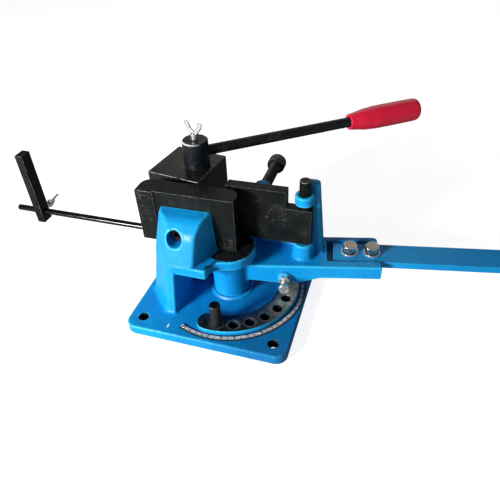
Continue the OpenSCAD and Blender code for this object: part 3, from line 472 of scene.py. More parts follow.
ground_steel = metal("ground_steel", (0.16, 0.165, 0.17), (0.34, 0.34, 0.34), shine=0.3, grain=900)
dress(ground_steel, "black_oxide", "pivot_pin", "pivot_screws")
bronze = metal("bearing_bronze", (0.34, 0.2, 0.07), (0.56, 0.36, 0.15), shine=0.3, grain=900)
dress(bronze, "bearing_bronze", "thrust_washer", "pivot_bushes")


# Angle scale: thin strip bent round the arc, silver with black margins and a mark for each degree.
# Printed aluminium, held to the plate by three small round-headed rivets.
def scale_print(name):
    """Silver strip printed in polar coordinates: margins by radius, marks by angle, longer at 5 and 10
    degrees, and worn blots where the tens stand."""
    f = Finish(bpy.data.materials.new(name))
    r, a = f.polar(PIVOT / 1000)
    degree = f.times(a, 180 / math.pi)

    def marks(pitch, half, inner):
        """Lines of a half width in degrees at each whole pitch, from an inner radius outward."""
        turn = f.calc("ADD", f.calc("DIVIDE", degree, pitch), 0.5)
        off = f.calc("ABSOLUTE", f.calc("SUBTRACT", f.calc("FRACT", turn), 0.5))
        return f.times(f.calc("LESS_THAN", off, half / pitch), f.calc("GREATER_THAN", r, inner))

    tens = f.times(marks(10, 1.25, 0.1003), f.calc("LESS_THAN", r, 0.1026))
    tens = f.times(tens, f.calc("GREATER_THAN", f.noise(1500, 2, 0.7), 0.5))
    margins = f.calc("LESS_THAN", r, 0.1009), f.calc("GREATER_THAN", r, 0.1062)
    ink = marks(1, 0.16, 0.1046)
    for more in (marks(5, 0.32, 0.1022), tens, *margins):
        ink = f.calc("MAXIMUM", ink, more)
    cloud = f.ramp(f.noise(120, 5, 0.7), 0.35, 0.65)
    silver = f.blend(cloud, (0.42, 0.44, 0.45), (0.92, 0.92, 0.9))
    rough = f.ramp(f.noise(260, 4), 0.3, 0.7, 0.36, 0.55)
    f.give({"Base Color": f.blend(ink, silver, (0.012, 0.013, 0.02)), "Roughness": rough})
    f.give({"Metallic": f.ramp(ink, 0, 1, 0.15, 0)})
    return f.owner


dress(scale_print("scale_strip"), "scale_strip", "angle_scale")


def round_path(corners, ease):
    """Path through corners, with each inner corner replaced by a parabola that leaves and rejoins it at a
    distance ease."""
    p = np.array(corners, float)
    a, b, c = p[:-2], p[1:-1], p[2:]
    back, on = a - b, c - b
    back = b + back * np.minimum(ease / np.linalg.norm(back, axis=1), 0.45)[:, None]
    on = b + on * np.minimum(ease / np.linalg.norm(on, axis=1), 0.45)[:, None]
    t = np.linspace(0, 1, 5)[:, None, None]
    bent = ((1 - t) ** 2 * back + 2 * t * (1 - t) * b + t**2 * on).transpose(1, 0, 2).reshape(-1, 2)
    return np.vstack([p[:1], bent, p[-1:]])


def lathe(z, r, origin, axis, sides, turn=0.0):
    """Surface of turning: row i of points lies at height z along the axis and at radius r, each one number
    for the row or one for each of its points. Rows run along the axis with the surface's outside on their
    right."""
    count = len(z)
    z = np.broadcast_to(np.asarray(z, float).reshape(count, -1), (count, sides))
    r = np.broadcast_to(np.asarray(r, float).reshape(count, -1), (count, sides))
    a = np.linspace(0, 2 * math.pi, sides, endpoint=False) + turn
    w = np.array(axis, float) / np.linalg.norm(axis)
    u = np.cross(w, (0, 0, 1) if abs(w[2]) < 0.9 else (0, 1, 0))
    u = u / np.linalg.norm(u)
    v = np.cross(w, u)
    ring = (r * np.cos(a))[..., None] * u + (r * np.sin(a))[..., None] * v
    points = np.array(origin, float) + ring + z[..., None] * w
    i, j = np.meshgrid(np.arange(count - 1), np.arange(sides), indexing="ij")
    k = (j + 1) % sides
    quads = np.stack([i * sides + j, i * sides + k, (i + 1) * sides + k, (i + 1) * sides + j], -1)
    return points.reshape(-1, 3), quads.reshape(-1, 4)


def joined(*surfaces):
    """Several surfaces as one set of points and faces."""
    starts = np.cumsum([0] + [len(points) for points, _ in surfaces[:-1]])
    return np.vstack([p for p, _ in surfaces]), np.vstack([f + n for (_, f), n in zip(surfaces, starts)])


def zinc(name, dull, bright, stain, metallic=1.0):
    """Plated steel: bright metal with cloudy tarnish and stains of a warm tint; a face that the tan
    attribute marks is browner and rougher."""
    f = Finish(bpy.data.materials.new(name))
    plate = f.blend(f.ramp(f.noise(160, 5, 0.65), 0.36, 0.62), dull, bright)
    plate = f.blend(f.ramp(f.noise(420, 4, 0.7), 0.5, 0.68, 0, 0.7), plate, stain)
    tan = f.attribute("tan")
    browned = f.times(tan, f.ramp(f.noise(260, 3), 0.35, 0.6, 0.25, 0.8))
    plate = f.blend(browned, plate, (0.42, 0.36, 0.25))
    rough = f.ramp(f.noise(500, 4), 0.3, 0.7, 0.14, 0.32)
    rough = f.calc("ADD", rough, f.times(tan, 0.2))
    f.give({"Base Color": plate, "Roughness": rough, "Metallic": metallic})
    f.bumps((f.noise(1300, 3), 0.00006))
    return f.owner


UP = (0, 0, 1)
RIVET_RING = 103.5
bright_zinc = zinc("bright_zinc", (0.5, 0.5, 0.49), (0.86, 0.86, 0.84), (0.4, 0.4, 0.38))
dome = round_path([(-6, 0), (-6, 1.2), (0.8, 1.2), (0.8, 2.0), (1.5, 1.5), (1.8, 0.6), (1.8, 0)], 0.4)
rivets = []
for angle in np.radians([-112, -49.6, 12]):
    spot = (PIVOT[0] + RIVET_RING * math.cos(angle), PIVOT[1] + RIVET_RING * math.sin(angle), PLATE_TOP)
    rivets.append(lathe(dome[:, 0], dome[:, 1], spot, UP, sides=24))
put("scale_rivets_domed", *joined(*rivets), "base", "bright_zinc", ["scale_rivets"], bright_zinc)


# Stop pin: plain steel pin that stands in one hole of the arc and sets the angle at which the arm stops.
# Oiled black oxide, rubbed bright on its rim. It is loose and lifts out.
def eased(name, ease, body, material):
    """Copy of a CAD node's mesh with its vertices merged, its flat triangles joined and its sharp edges
    rounded by ease. Its edge attribute is 1 along the rounding's crest and 0 on the faces."""
    flat, sharp = math.radians(0.3), math.radians(28)
    work = bmesh.new()
    work.from_mesh(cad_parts[name].data)
    bmesh.ops.remove_doubles(work, verts=work.verts, dist=2e-6)
    bmesh.ops.dissolve_limit(work, angle_limit=flat, verts=work.verts[:], edges=work.edges[:])
    made = bmesh.ops.bevel(
        work, geom=[e for e in work.edges if e.is_manifold and e.calc_face_angle(0) > sharp],
        offset=ease / 1000, offset_type="OFFSET", segments=2, profile=0.5,
        affect="EDGES", clamp_overlap=True,
    )
    for face in work.faces:
        face.material_index = 0
    for face in made["faces"]:
        face.material_index = 1
    mesh = bpy.data.meshes.new(name + "_eased")
    work.to_mesh(mesh)
    work.free()
    mark, count = np.zeros(len(mesh.polygons), int), np.zeros(len(mesh.polygons), int)
    vertex = np.zeros(len(mesh.loops), int)
    mesh.polygons.foreach_get("material_index", mark)
    mesh.polygons.foreach_get("loop_total", count)
    mesh.loops.foreach_get("vertex_index", vertex)
    crest = np.ones(len(mesh.vertices))
    np.minimum.at(crest, vertex, np.repeat(mark, count).astype(float))
    mesh.polygons.foreach_set("material_index", np.zeros(len(mesh.polygons), int))
    mesh.attributes.new("edge", "FLOAT", "POINT").data.foreach_set("value", crest.astype(np.float32))
    install(name + "_eased", mesh, body, [name], material)


def oxide(name, dark, light, shine, wear, gloss, scuffs=()):
    """Oiled black oxide: dark clouds, hairline scratches where stretched noise crosses its mean, bright
    specks, and steel showing on the crests of edges by the share wear. Scuffs are places in millimetres
    with a radius within which scratches and rubbed edges are thicker."""
    f = Finish(bpy.data.materials.new(name))
    tone = f.blend(f.ramp(f.noise(26, 5, 0.6), 0.34, 0.68), dark, light)
    scuff = lines = 0.0
    for *spot, reach in scuffs:
        away = f.vector("DISTANCE", f.place, [v / 1000 for v in spot])
        scuff = f.calc("MAXIMUM", scuff, f.ramp(away, reach / 1000, 0.3 * reach / 1000))
    for stretch in ((16, 70, 150), (120, 60, 22), (75, 60, 240)):
        run = f.vector("MULTIPLY", f.place, stretch)
        off = f.calc("ABSOLUTE", f.calc("SUBTRACT", f.noise(1.0, 2, 0.6, run), 0.5))
        lines = f.calc("MAXIMUM", lines, f.ramp(off, 0.0, 0.005, 1, 0))
    patches = f.calc("MAXIMUM", f.ramp(f.noise(55, 3), 0.5, 0.66), scuff)
    lines = f.times(lines, patches)
    specks = f.ramp(f.noise(700, 3, 0.7), 0.66, 0.74)
    share = f.calc("MULTIPLY_ADD", scuff, 0.4, 0.35)
    lit = f.times(f.calc("MAXIMUM", lines, specks), share)
    tone = f.blend(lit, tone, (0.3, 0.31, 0.3))
    thin = f.calc("MULTIPLY_ADD", scuff, 0.2, f.noise(75, 6, 0.7))
    rub = f.times(f.attribute("edge"), f.ramp(thin, 0.62 - 0.3 * wear, 0.8 - 0.3 * wear))
    rough = f.ramp(f.noise(130, 5), 0.3, 0.72, shine, shine + 0.18)
    f.give({"Base Color": f.blend(rub, tone, (0.5, 0.51, 0.5)), "Roughness": rough})
    f.give({"Metallic": f.times(rub, 0.35), "Specular IOR Level": gloss})
    f.bumps((f.noise(900, 3), 0.00007), (lines, -0.00003))
    return f.owner


def overlay(material, colour, mask):
    """Lays a colour on a finished material where a mask of it is 1."""
    f = Finish(material)
    under = f.shader.inputs["Base Color"].links[0].from_socket
    f.give({"Base Color": f.blend(mask(f), under, colour)})


def above(f, height):
    """1 at points over a height in metres."""
    return f.calc("GREATER_THAN", f.node("ShaderNodeSeparateXYZ", {0: f.place}).outputs[2], height)


def pin_top(f):
    """1 on the pin's top face, which is coloured blacker than its side."""
    return above(f, 0.0598)


pin_black = oxide(
    "pin_black", (0.008, 0.009, 0.009), (0.02, 0.021, 0.021), shine=0.26, wear=0.2, gloss=0.34
)
overlay(pin_black, (0.001, 0.001, 0.001), pin_top)
eased("stop_pin", 0.5, "stop_pin", pin_black)


# Front die: fixed jaw with rounded rear corners, its cap screw in the column's hole and two hidden dowels.
# Hardened steel, black oxide, edges rubbed bright. It stands on the table against the column.
JAW_TONES = {
    "dark": (0.003, 0.004, 0.0045), "light": (0.011, 0.0125, 0.0115),
    "shine": 0.3, "wear": 0.85, "gloss": 0.15,
}
die_scuffs = [(9, -11.5, 102, 14), (-114, -11.5, 136, 20), (-110, -11.5, 170, 25)]
eased("front_die", 0.9, "base", oxide("die_black", **JAW_TONES, scuffs=die_scuffs))
screw_black = oxide(
    "screw_black", (0.006, 0.006, 0.007), (0.016, 0.016, 0.018), shine=0.24, wear=0.35, gloss=0.45
)
eased("front_die_screw", 0.5, "base", screw_black)
dress(bright_zinc, "bright_zinc", "die_dowels")


# Eccentric clamp: block that slides to the die, shaft with an eccentric, lever rod, red grip, wing screw.
# Black oxide block and shaft, black rod, moulded red plastic; zinc screw, and washer and nut underneath.
# The shaft turns in the table; its lever rod is held in its head by the wing screw.
def rim_wear_and_highlight(f):
    """1 on the chamfer of the shaft's head, by radius and height, on the side toward the key lamp: worn steel
    with a painted highlight.
    """
    r, a = f.polar(CLAMP_AXIS / 1000)
    rim = f.times(f.calc("GREATER_THAN", r, 0.0168), above(f, 0.2092))
    side = f.calc("COSINE", f.calc("ADD", a, math.radians(135)))
    return f.times(rim, f.ramp(side, -0.1, 0.8))


block_black = oxide(
    "block_black", (0.007, 0.0078, 0.005), (0.017, 0.019, 0.013), shine=0.18, wear=0.85, gloss=0.24
)
eased("clamp_block", 0.9, "clamp_block", block_black)
shaft_black = oxide(
    "shaft_black", (0.003, 0.005, 0.007), (0.009, 0.012, 0.015), shine=0.26, wear=0.3, gloss=0.26
)
# worn steel and a painted highlight on the chamfer of the shaft's head
overlay(shaft_black, (0.6, 0.61, 0.6), rim_wear_and_highlight)
eased("clamp_shaft", 0.5, "clamp_lever", shaft_black)
dress(bright_zinc, "bright_zinc", "clamp_washer", "clamp_nut")
black_rod = oxide("black_rod", (0.006, 0.006, 0.007), (0.014, 0.014, 0.016), shine=0.1, wear=0.5, gloss=0.3)
eased("clamp_lever_rod", 0.6, "clamp_lever", black_rod)

f = Finish(bpy.data.materials.new("red_grip"))
cloud = f.ramp(f.noise(30, 4), 0.3, 0.7)
moulded = f.blend(cloud, (0.84, 0.01, 0.048), (0.94, 0.014, 0.066))
rough = f.ramp(f.noise(90, 4), 0.3, 0.7, 0.24, 0.38)
f.give({"Base Color": moulded, "Roughness": rough, "Coat Weight": 0.25})
f.bumps((f.noise(500, 2), 0.00006))
ROD_TURN, ROD_HEIGHT, SHAFT_TOP = math.radians(36.5), 191.3, 211.2
GRIP_SIDES, SEAM_ANGLE, SEAM_HEIGHT = 120, 35, 0.16
grip_path = round_path(
    [
        (300, 0), (300, 7.55), (239, 7.55), (239, 10.6), (239.2, 11.9), (246, 12.6), (264, 15.8),
        (284, 17.3), (325, 17.35), (352.5, 17.1), (356.6, 15), (358, 11.5), (358, 0),
    ],
    3.0,
)
# the mould's parting line runs along both sides
off_seam = (np.arange(GRIP_SIDES) * 360 / GRIP_SIDES - SEAM_ANGLE + 90) % 180 - 90
seam = SEAM_HEIGHT * np.exp(-((off_seam / 2.2) ** 2))
grip_r = grip_path[:, 1:] + seam * np.clip((grip_path[:, 1:] - 11) * 5, 0, 1)
grip_way = (math.cos(ROD_TURN), math.sin(ROD_TURN), 0)
put(
    "clamp_grip_moulded", *lathe(grip_path[:, 0], grip_r, (*CLAMP_AXIS, ROD_HEIGHT), grip_way, GRIP_SIDES),
    "clamp_lever", "red_grip", ["clamp_grip"], f.owner,
)


def wing_distance(p, q, h, bore, collar, collar_h, span, wing_h):
    """Distance to a wing screw standing on its axis h: a round collar and shank, and two flat ears in the
    plane q = 0 that lean outward in a bow and swell to round tips."""
    r = np.hypot(p, q)
    d = soft_max(r - collar / 2, between(h, 0, collar_h), 1.2)
    foot_p, foot_h = 0.14 * collar, collar_h
    lean_p, lean_h = span / 2 - 0.13 * span - foot_p, collar_h + 0.76 * wing_h - foot_h
    off_p, off_h = np.abs(p) - foot_p, h - foot_h
    t = np.clip((off_p * lean_p + off_h * lean_h) / (lean_p**2 + lean_h**2), 0, 1)
    bow = 0.05 * span * np.sin(math.pi * t)
    ear = np.hypot(off_p - t * lean_p - bow, off_h - t * lean_h) - (0.1 + 0.03 * t) * span
    thick = np.abs(q) - (0.16 - 0.05 * t) * collar
    d = soft_min(d, soft_max(ear, thick, 1.2), 1.4)
    return soft_min(d, np.maximum(r - bore / 2, between(h, -60, 1)), 0.3)


def wing_screw(shank, collar, collar_h, span, wing_h, bore):
    """Points, quads and normals of a wing screw in its own frame, with its shank cut at its length."""
    def shape(p, q, h):
        """Distance to the screw, cut below the shank's end."""
        return soft_max(wing_distance(p, q, h, bore, collar, collar_h, span, wing_h), -shank - h, 0.4)

    low = (-span / 2 - 1, -collar / 2 - 1, -shank - 1)
    high = (span / 2 + 1, collar / 2 + 1, collar_h + wing_h + 1)
    return skin(shape, low, high, step=0.62)[:3]


wing_zinc = zinc("wing_zinc", (0.72, 0.73, 0.73), (0.93, 0.93, 0.92), (0.6, 0.6, 0.58), metallic=0.85)
points, quads, normals = wing_screw(shank=11.6, collar=10.5, collar_h=9, span=30, wing_h=17, bore=8)
turn = math.radians(-15.5)
spin = np.array([(math.cos(turn), math.sin(turn), 0), (-math.sin(turn), math.cos(turn), 0), (0, 0, 1)])
put(
    "clamp_wing_screw_cast", points @ spin + (*CLAMP_AXIS, SHAFT_TOP), quads,
    "clamp_wing_screw", "bright_zinc", ["clamp_wing_screw"], wing_zinc, normals @ spin,
)


# Swing arm: one iron casting of hub, beam with the lever's pocket, the plate's boss and eye, post and lug.
# The same blue enamel. Its hub turns on the base's pivot pin between the thrust washer and the table's nose.
# Along the arm the sizes are in its own plan: u from the pivot, v across.
ARM_TURN = math.radians(12.8)
PLATE_PIN = (103.9, 33.5)
ADJUSTER_X, ADJUSTER_Z = 39, 150
STOP_SCREW_U, STOP_SCREW_Z = 77, 46.5
LEVER_U, LEVER_V, LEVER_SKEW, BOLT_HALF = 184.8, 23, math.radians(-2.5), 15.5
BEAM_TOP, POCKET_FLOOR, HUB_R, EYE_R = 67, 54.5, 26.5, 13
BUSH_R, ADJUSTER_R, STOP_BORE_R, BOLT_R = 15.1, 8.2, 5.2, 6.6
POST_MIDDLE = (107, 52, 100)
POST_PLANES = [
    [(90, 44, 61), (125, 44, 61), (110, 44, 181)],  # front
    [(86.9, 44, 61), (86.9, 65, 61), (96.9, 50, 181)],  # left
    [(129.4, 44, 61), (129.4, 65, 61), (120.4, 50, 181)],  # right
    [(90, 65, 61), (125, 65, 61), (110, 56, 181)],  # back
    [(90, 44, 181), (125, 44, 181), (110, 56, 181)],  # top
]


def arm_plan(x, y):
    """Places u along the arm from its pivot and v across it: the plan turned back by the arm's angle."""
    c, s = math.cos(ARM_TURN), math.sin(ARM_TURN)
    px, py = x - PIVOT[0], y - PIVOT[1]
    return px * c + py * s, py * c - px * s


def arm_distance(x, y, z):
    """Distance to the swing arm: hub, beam, bosses, post, lug and rib joined by soft minima, less pocket
    and bores."""
    u, v = arm_plan(x, y)
    r = np.hypot(u, v)
    # the beam's plan is convex but for the step at u 62 to 72
    long = soft_max(soft_max(u - 211, v - 56, 7), np.maximum(-30 - u, -14 - v), 1.5)
    wide = soft_max(soft_max(v - 62, 12 - v, 3), np.maximum((u - 62) * 0.53 + (v - 62) * 0.85, u - 100), 3)
    plan = soft_min(long, wide, 4)
    plan = soft_max(plan, ((v - 16) * 42 - (u + 14) * 46) / 62.3, 4)
    plan = soft_max(plan, (-30 * u - 14 * v - 196) / 33.1, 4)
    below = np.interp(u, [-30, 30, 66, 95, 127, 221], [39.5, 39.5, 35.5, 35.5, 45.6, 45.6])
    d = soft_max(plan, soft_max(below - z, z - BEAM_TOP, 2), 2.6)
    d = soft_min(d, soft_max(r - HUB_R, between(z, 18.5, 75.7), 1.5), 5)
    pin = np.hypot(x - PLATE_PIN[0], y - PLATE_PIN[1])
    d = soft_min(d, soft_max(pin - 14.5, between(z, 60, 91.5), 1.5), 5)
    post = hewn(x, y, z, POST_MIDDLE, POST_PLANES, 5)
    d = soft_min(d, np.maximum(post, 58 - z), 6)
    eye = soft_min(pin - EYE_R, np.maximum(np.abs(x - PLATE_PIN[0]) - 9, between(y, PLATE_PIN[1], 50)), 3)
    d = soft_min(d, soft_max(eye, between(z, 154.5, 168.5), 2), 4)
    # the lug: a boss along Y over a web that widens to the beam
    boss = np.hypot(x - ADJUSTER_X, z - ADJUSTER_Z)
    half = 17 - 3 * np.clip((z - 62) / 88, 0, 1)
    web = np.maximum(np.abs(x - ADJUSTER_X) - half, between(z, 61, ADJUSTER_Z))
    d = soft_min(d, soft_max(soft_min(boss - 14, web, 1), between(y, 50, 64), 2.2), 5)
    rib = np.maximum(between(x, ADJUSTER_X, PLATE_PIN[0]), between(y, 52, 62))
    top = np.interp(x, [ADJUSTER_X, 83.9, PLATE_PIN[0]], [103, 109, 137])
    d = soft_min(d, soft_max(rib, soft_max(60 - z, z - top, 2), 2), 6)
    stop = np.hypot(u - STOP_SCREW_U, z - STOP_SCREW_Z)
    d = soft_min(d, soft_max(stop - 9.5, between(v, -17.5, -8), 1.2), 2)
    # pocket for the lever, then the bores
    d = soft_max(d, -soft_max(soft_max(137 - u, between(v, 0, 46), 2), POCKET_FLOOR - z, 1.2), 1.6)
    d = soft_max(d, -np.maximum(r - BUSH_R, 10 - z), 0.4)
    d = soft_max(d, -np.maximum(pin - np.where(z > 146.5, 7.75, 5.2), 60 - z), 0.5)
    d = soft_max(d, -np.maximum(boss - ADJUSTER_R, between(y, 40, 70)), 0.6)
    d = soft_max(d, -np.maximum(stop - STOP_BORE_R, v - 12), 0.4)
    c, s, du, dv = math.cos(LEVER_SKEW), math.sin(LEVER_SKEW), u - LEVER_U, v - LEVER_V
    return soft_max(d, BOLT_R - np.hypot(np.abs(du * c + dv * s) - BOLT_HALF, dv * c - du * s), 0.4)


points, quads, normals, bend = skin(arm_distance, (-32.1, -33.1, 15.2), (216.5, 104.2, 184), step=1.6)
z = points[:, 2]
u, v = arm_plan(points[:, 0], points[:, 1])
in_pocket = (u > 136.5) & (np.abs(v - LEVER_V) < 23.5) & (z > POCKET_FLOOR - 0.5) & (z < 65.5)
back_rail = (u > 130) & (v > 44.5) & (z > 58)
on_hub = np.clip((28.5 - np.hypot(u, v)) / 1.5, 0, 1) * np.clip((u + 16) / 34, 0, 1)
put(
    "swing_arm_cast", points, quads, "arm", "blue_enamel", ["swing_arm"], blue, normals,
    {
        # painted shade: the lever's pocket darker in colour, besides the hollows from the bend
        "edge": np.where(in_pocket, -0.5, np.clip(bend, -0.55, 1)),
        # painted shade: the pocket's back rail and part of the hub darker in colour
        "painted_shade": np.where(back_rail, 0.7, 0.6 * on_hub),
    },
)


# Bending plate: hardened jaw on the arm that swings on its pin and is set by the adjusting screw behind it.
# Black oxide, scratched by the bars. The pin drops through the eye, the plate and the arm's boss; the
# screw, with a knurled cap head, runs in the arm's lug.
plate_scuffs = [(67, 24, 136, 22), (77, 24, 126, 16), (97, 24, 146, 13)]
plate_black = oxide("plate_black", **JAW_TONES, scuffs=plate_scuffs)
eased("bending_plate", 0.9, "bending_plate", plate_black)
eased("bending_pin", 0.5, "bending_pin", oxide("black_oxide", **JAW_TONES))


def thread(start, end, radius, pitch, depth, origin, axis, sides=40):
    """Screw thread as a turned surface: the radius falls by depth in a V that climbs one pitch in each
    turn."""
    z = np.arange(start, end, pitch / 8)
    a = np.linspace(0, 1, sides, endpoint=False)
    v = np.abs(2 * ((z[:, None] / pitch - a) % 1) - 1)
    r = radius - depth * np.clip(1.7 * v - 0.6, 0, 1)
    fade = np.clip(np.minimum(z - start, z[-1] - z) / pitch, 0, 1)[:, None]
    r = radius - depth * (1 - fade) + (r - radius) * fade
    z, r = np.concatenate([z[:1], z, z[-1:]]), np.vstack([r[:1] * 0, r, r[-1:] * 0])
    return lathe(z, r, origin, axis, sides)


def hexagon(flats, sides):
    """Radius round a hexagon of given width across flats."""
    a = np.linspace(0, 2 * math.pi, sides, endpoint=False)
    return flats / 2 / np.cos((a + math.pi / 6) % (math.pi / 3) - math.pi / 6)


def knurled(z0, z1, radius, teeth, flats, socket):
    """Cap head from z0 to z1: a straight knurl round its side, plain bevelled rims, and a hexagon socket in
    its end."""
    sides = 4 * teeth
    a = np.linspace(0, 2 * math.pi, sides, endpoint=False)
    knurl = radius - 0.45 * (0.5 - 0.5 * np.cos(teeth * a))
    plain = np.ones(sides)
    hexed = np.minimum(hexagon(flats, sides), 0.5 * flats * 1.12)
    rows = [
        (z0, 0 * plain), (z0, (radius - 1.2) * plain), (z0 + 0.5, (radius - 0.5) * plain),
        (z0 + 0.9, (radius - 0.3) * plain), (z0 + 1.4, knurl), (z1 - 2.2, knurl),
        (z1 - 1.6, (radius - 0.3) * plain), (z1 - 0.5, (radius - 1.0) * plain), (z1, (radius - 1.9) * plain),
        (z1, hexed + 0.4), (z1 - 0.4, hexed), (z1 - socket, hexed), (z1 - socket - 1.5, 0 * plain),
    ]
    return np.array([z for z, _ in rows]), np.array([r for _, r in rows]), sides


screw_line = (ADJUSTER_X, 0, ADJUSTER_Z), (0, 1, 0)
z, r, sides = knurled(127, 143.2, radius=13.2, teeth=40, flats=14, socket=8)
put(
    "adjusting_screw_threaded",
    *joined(
        thread(47.0, 127.2, 8, 2, 1.0, *screw_line, 44),
        lathe([42.2, 42.2, 43.5, 47.2], [0, 2.6, 3.6, 6.9], *screw_line, 44),
        lathe(z, r, *screw_line, sides),
    ),
    "adjusting_screw", "black_oxide", ["adjusting_screw"], screw_black,
)


# Lever: flat bar in the arm's pocket, held by two hexagon bolts with washers, and nuts under the arm.
# Blue enamel on drawn bar, scuffed along its edges; zinc bolts with a yellow tint.
lever_blue = enamel("lever_enamel", (0.004, 0.36, 0.78), (0.003, 0.28, 0.67), cast=False)
eased("lever_bar", 1.2, "arm", lever_blue)
yellow_zinc = zinc("yellow_zinc", (0.5, 0.5, 0.46), (0.9, 0.9, 0.85), (0.42, 0.41, 0.34))
washer_zinc = zinc("washer_zinc", (0.55, 0.56, 0.55), (0.93, 0.93, 0.91), (0.45, 0.44, 0.4), metallic=0.7)
# spring washers of near-black steel, dark as painted shade in the gap under the bolt heads
spring_washer_shade = zinc("spring_washer_shade", (0.06, 0.065, 0.065), (0.16, 0.165, 0.16), (0.08, 0.07, 0.05), metallic=0.8)


def arm_point(u, v, z):
    """Point of the arm's own plan in the row frame."""
    c, s = math.cos(ARM_TURN), math.sin(ARM_TURN)
    return np.array([PIVOT[0] + u * c - v * s, PIVOT[1] + u * s + v * c, z])


def hex_rows(z0, z1, flats, sides, dome=0.0):
    """Rows of a hexagon head from z0 to z1: a washer face, six flats cut by a cone at the far end, and that
    end, which may sink by dome at its middle."""
    face, side = [z0, z0, z0 + 0.35, z0 + 0.4], np.linspace(z0 + 0.6, z1 - 1.7, 3)
    z = np.array([*face, *side, *np.linspace(z1 - 1.5, z1, 7), z1, z1 - dome, z1 - dome])
    cone = 0.475 * flats + np.maximum(z1 - z, 0) * 1.73
    r = np.minimum(hexagon(flats, sides)[None, :], cone[:, None])
    r[0], r[1], r[2] = 0, 0.46 * flats, 0.475 * flats
    r[-3], r[-2], r[-1] = 0.44 * flats, 0.4 * flats, 0
    return z, r


BOLT_FLATS, BOLT_SIDES = 19, 96
HEAD_LOW, HEAD_TOP, HEAD_DISH = 70, 77.5, 0.35
NUT_LOW, NUT_TOP = 35.6, 45.6
lever_turn = ARM_TURN + LEVER_SKEW
bolts, washers, nuts = [], [], []
for side in (-BOLT_HALF, BOLT_HALF):
    spot = arm_point(LEVER_U + side * math.cos(LEVER_SKEW), LEVER_V + side * math.sin(LEVER_SKEW), 0)
    z, r = hex_rows(HEAD_LOW, HEAD_TOP, BOLT_FLATS, BOLT_SIDES, HEAD_DISH)
    bolts.append(lathe(z, r, spot, UP, BOLT_SIDES, lever_turn + math.radians(12)))
    bolts.append(thread(33.6, HEAD_LOW + 0.2, 6, 1.75, 0.9, spot, UP))
    ring = round_path([(64.5, 6.5), (64.5, 12), (67, 12), (67, 6.5), (64.5, 6.5)], 0.5)
    washers.append(lathe(ring[:, 0], ring[:, 1], spot, UP, sides=64))
    # the nut's cone points down, so its rows are turned over
    z, r = hex_rows(NUT_LOW, NUT_TOP, BOLT_FLATS, BOLT_SIDES)
    z, r = NUT_LOW + NUT_TOP - z[::-1], np.maximum(r[::-1], 6.1)
    nuts.append(lathe(z, r, spot, UP, BOLT_SIDES, lever_turn + math.radians(40)))
points, quads = joined(*bolts)
end_face = np.abs(points[:, 2] - HEAD_TOP + HEAD_DISH) < 0.02
put(
    "lever_bolts_hexed", points, quads, "arm", "yellow_zinc", ["lever_bolts"], yellow_zinc,
    values={"tan": end_face * 1.0},
)
put("lever_washers_turned", *joined(*washers), "arm", "bright_zinc", ["lever_washers"], washer_zinc)
eased("lever_spring_washers", 0.35, "arm", spring_washer_shade)
put("lever_nuts_hexed", *joined(*nuts), "arm", "yellow_zinc", ["lever_nuts"], yellow_zinc)


# Stop screw: hexagon screw with a lock nut in the arm's front face; its head meets the stop pin.
# Yellowish zinc. The nut stays on the arm while the screw is set in or out.
STOP_FLATS, STOP_SIDES = 14, 72
stop_line = arm_point(STOP_SCREW_U, 0, STOP_SCREW_Z), (math.sin(ARM_TURN), -math.cos(ARM_TURN), 0)
stop_zinc = zinc("stop_zinc", (0.46, 0.46, 0.43), (0.92, 0.91, 0.87), (0.4, 0.36, 0.28), metallic=0.7)
z, r = hex_rows(34.7, 40, STOP_FLATS, STOP_SIDES, 0.3)
put(
    "stop_screw_hexed",
    *joined(lathe(z, r, *stop_line, STOP_SIDES, turn=0.3), thread(-6, 34.9, 4, 1.25, 0.65, *stop_line, 32)),
    "stop_screw", "yellow_zinc", ["stop_screw"], stop_zinc,
)
z, r = hex_rows(17.5, 24, STOP_FLATS, STOP_SIDES)
put(
    "stop_lock_nut_hexed", *lathe(z, np.maximum(r, 4.1), *stop_line, STOP_SIDES, turn=0.55),
    "arm", "yellow_zinc", ["stop_lock_nut"], stop_zinc,
)


# Length stop: round rod in the die's end with an upright bar that slides on it, held by its wing screw.
# Polished dark rod, black oxide bar, zinc wing screw.
polished = metal(
    "stop_rod_polished", (0.02, 0.021, 0.022), (0.042, 0.042, 0.045), shine=0.06, grain=600, metallic=0.9
)
eased("stop_rod", 0.6, "base", polished)
bar_black = oxide(
    "bar_black", (0.004, 0.005, 0.0045), (0.012, 0.013, 0.011), shine=0.34, wear=0.7, gloss=0.09
)
eased("stop_bar", 0.7, "stop_bar", bar_black)
STOP_WING_AT = (-299.5, 16, 99)
points, quads, normals = wing_screw(shank=11, collar=11, collar_h=8, span=24, wing_h=14, bore=6)
turn = math.radians(-52)
spin = np.array([(math.cos(turn), 0, -math.sin(turn)), (-math.sin(turn), 0, -math.cos(turn)), (0, 1, 0)])
put(
    "stop_wing_screw_cast", points @ spin + STOP_WING_AT, quads,
    "stop_wing_screw", "bright_zinc", ["stop_wing_screw"], wing_zinc, normals @ spin,
)


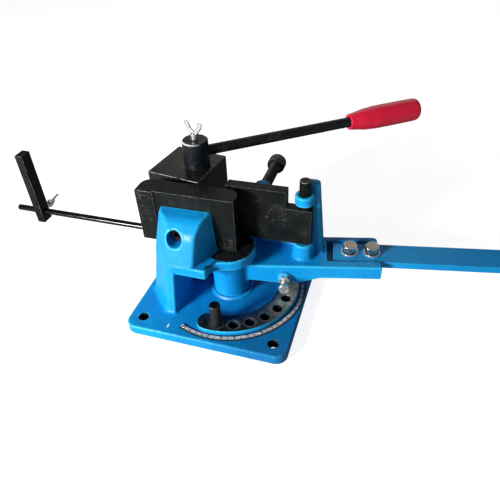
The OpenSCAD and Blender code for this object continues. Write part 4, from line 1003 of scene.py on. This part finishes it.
# Stage: pale floor that looks white to the camera but for the object's shadow, a white surround that
# lights little, a soft key lamp from the front left and a wide one behind, and the camera where the
# photo was taken from.
FLOOR_GLOW, AMBIENT, GLOSS_AMBIENT = 0.85, 0.1, 0.16
floor_mesh = bpy.data.meshes.new("floor")
floor_mesh.from_pydata([(-6, -6, 0), (6, -6, 0), (6, 6, 0), (-6, 6, 0)], [], [(0, 1, 2, 3)])
floor = linked("floor", floor_mesh)
f = Finish(bpy.data.materials.new("floor"))
pale = f.blend(f.noise(3, 2), (0.62, 0.62, 0.62), (0.66, 0.66, 0.66))
seen = f.node("ShaderNodeLightPath").outputs["Is Camera Ray"]
f.give({"Base Color": pale, "Roughness": 0.9})
f.give({"Emission Color": (1, 1, 1, 1), "Emission Strength": f.times(seen, FLOOR_GLOW)})
floor_mesh.materials.append(f.owner)

f = Finish(bpy.data.worlds.new("surround"), "Background")
bpy.context.scene.world = f.owner
path = f.node("ShaderNodeLightPath").outputs
seen = f.calc("MAXIMUM", path["Is Camera Ray"], path["Is Transmission Ray"])
mirrored = f.times(path["Is Glossy Ray"], GLOSS_AMBIENT)
strength = f.calc("MAXIMUM", f.ramp(seen, 0, 1, AMBIENT, 1.0), mirrored)
f.give({"Color": (1, 1, 1, 1), "Strength": strength})


def lamp(name, place, aim, size, power):
    """Round soft lamp at a place in metres, facing an aim."""
    data = bpy.data.lights.new(name, "AREA")
    data.shape, data.size, data.energy = "DISK", size, power
    made = linked(name, data)
    made.location = place
    made.rotation_euler = (Vector(aim) - Vector(place)).to_track_quat("-Z", "Y").to_euler()


lamp("key", (-0.86, -1.36, 0.6), (0, 0, 0.1), size=0.45, power=42)
lamp("back", (-0.2, 1.5, 1.1), (0, 0, 0.1), size=1.6, power=3.2)

SENSOR, FOCAL_PIXELS, IMAGE_PIXELS = 36, 498, 500
CAMERA_AT = (0.21196, -0.50744, 0.52084)
camera = linked("camera", bpy.data.cameras.new("camera"))
camera.data.sensor_width, camera.data.lens = SENSOR, SENSOR * FOCAL_PIXELS / IMAGE_PIXELS
camera.data.clip_start, camera.data.clip_end = 0.01, 50
azimuth, elevation, roll = np.radians([19.13, 38.87, -2.95])
level = np.array([-math.sin(azimuth), math.cos(azimuth), 0])
ahead = math.cos(elevation) * level - math.sin(elevation) * np.array(UP)
right = np.array([math.cos(azimuth), math.sin(azimuth), 0])
up = np.cross(right, ahead)
turned_right = math.cos(roll) * right + math.sin(roll) * up
turned_up = -math.sin(roll) * right + math.cos(roll) * up
pose = np.eye(4)
pose[:3] = np.stack([turned_right, turned_up, -ahead, CAMERA_AT], axis=1)
camera.matrix_world = Matrix(pose.tolist())
bpy.context.scene.camera = camera
bpy.context.scene.view_settings.view_transform = "Standard"
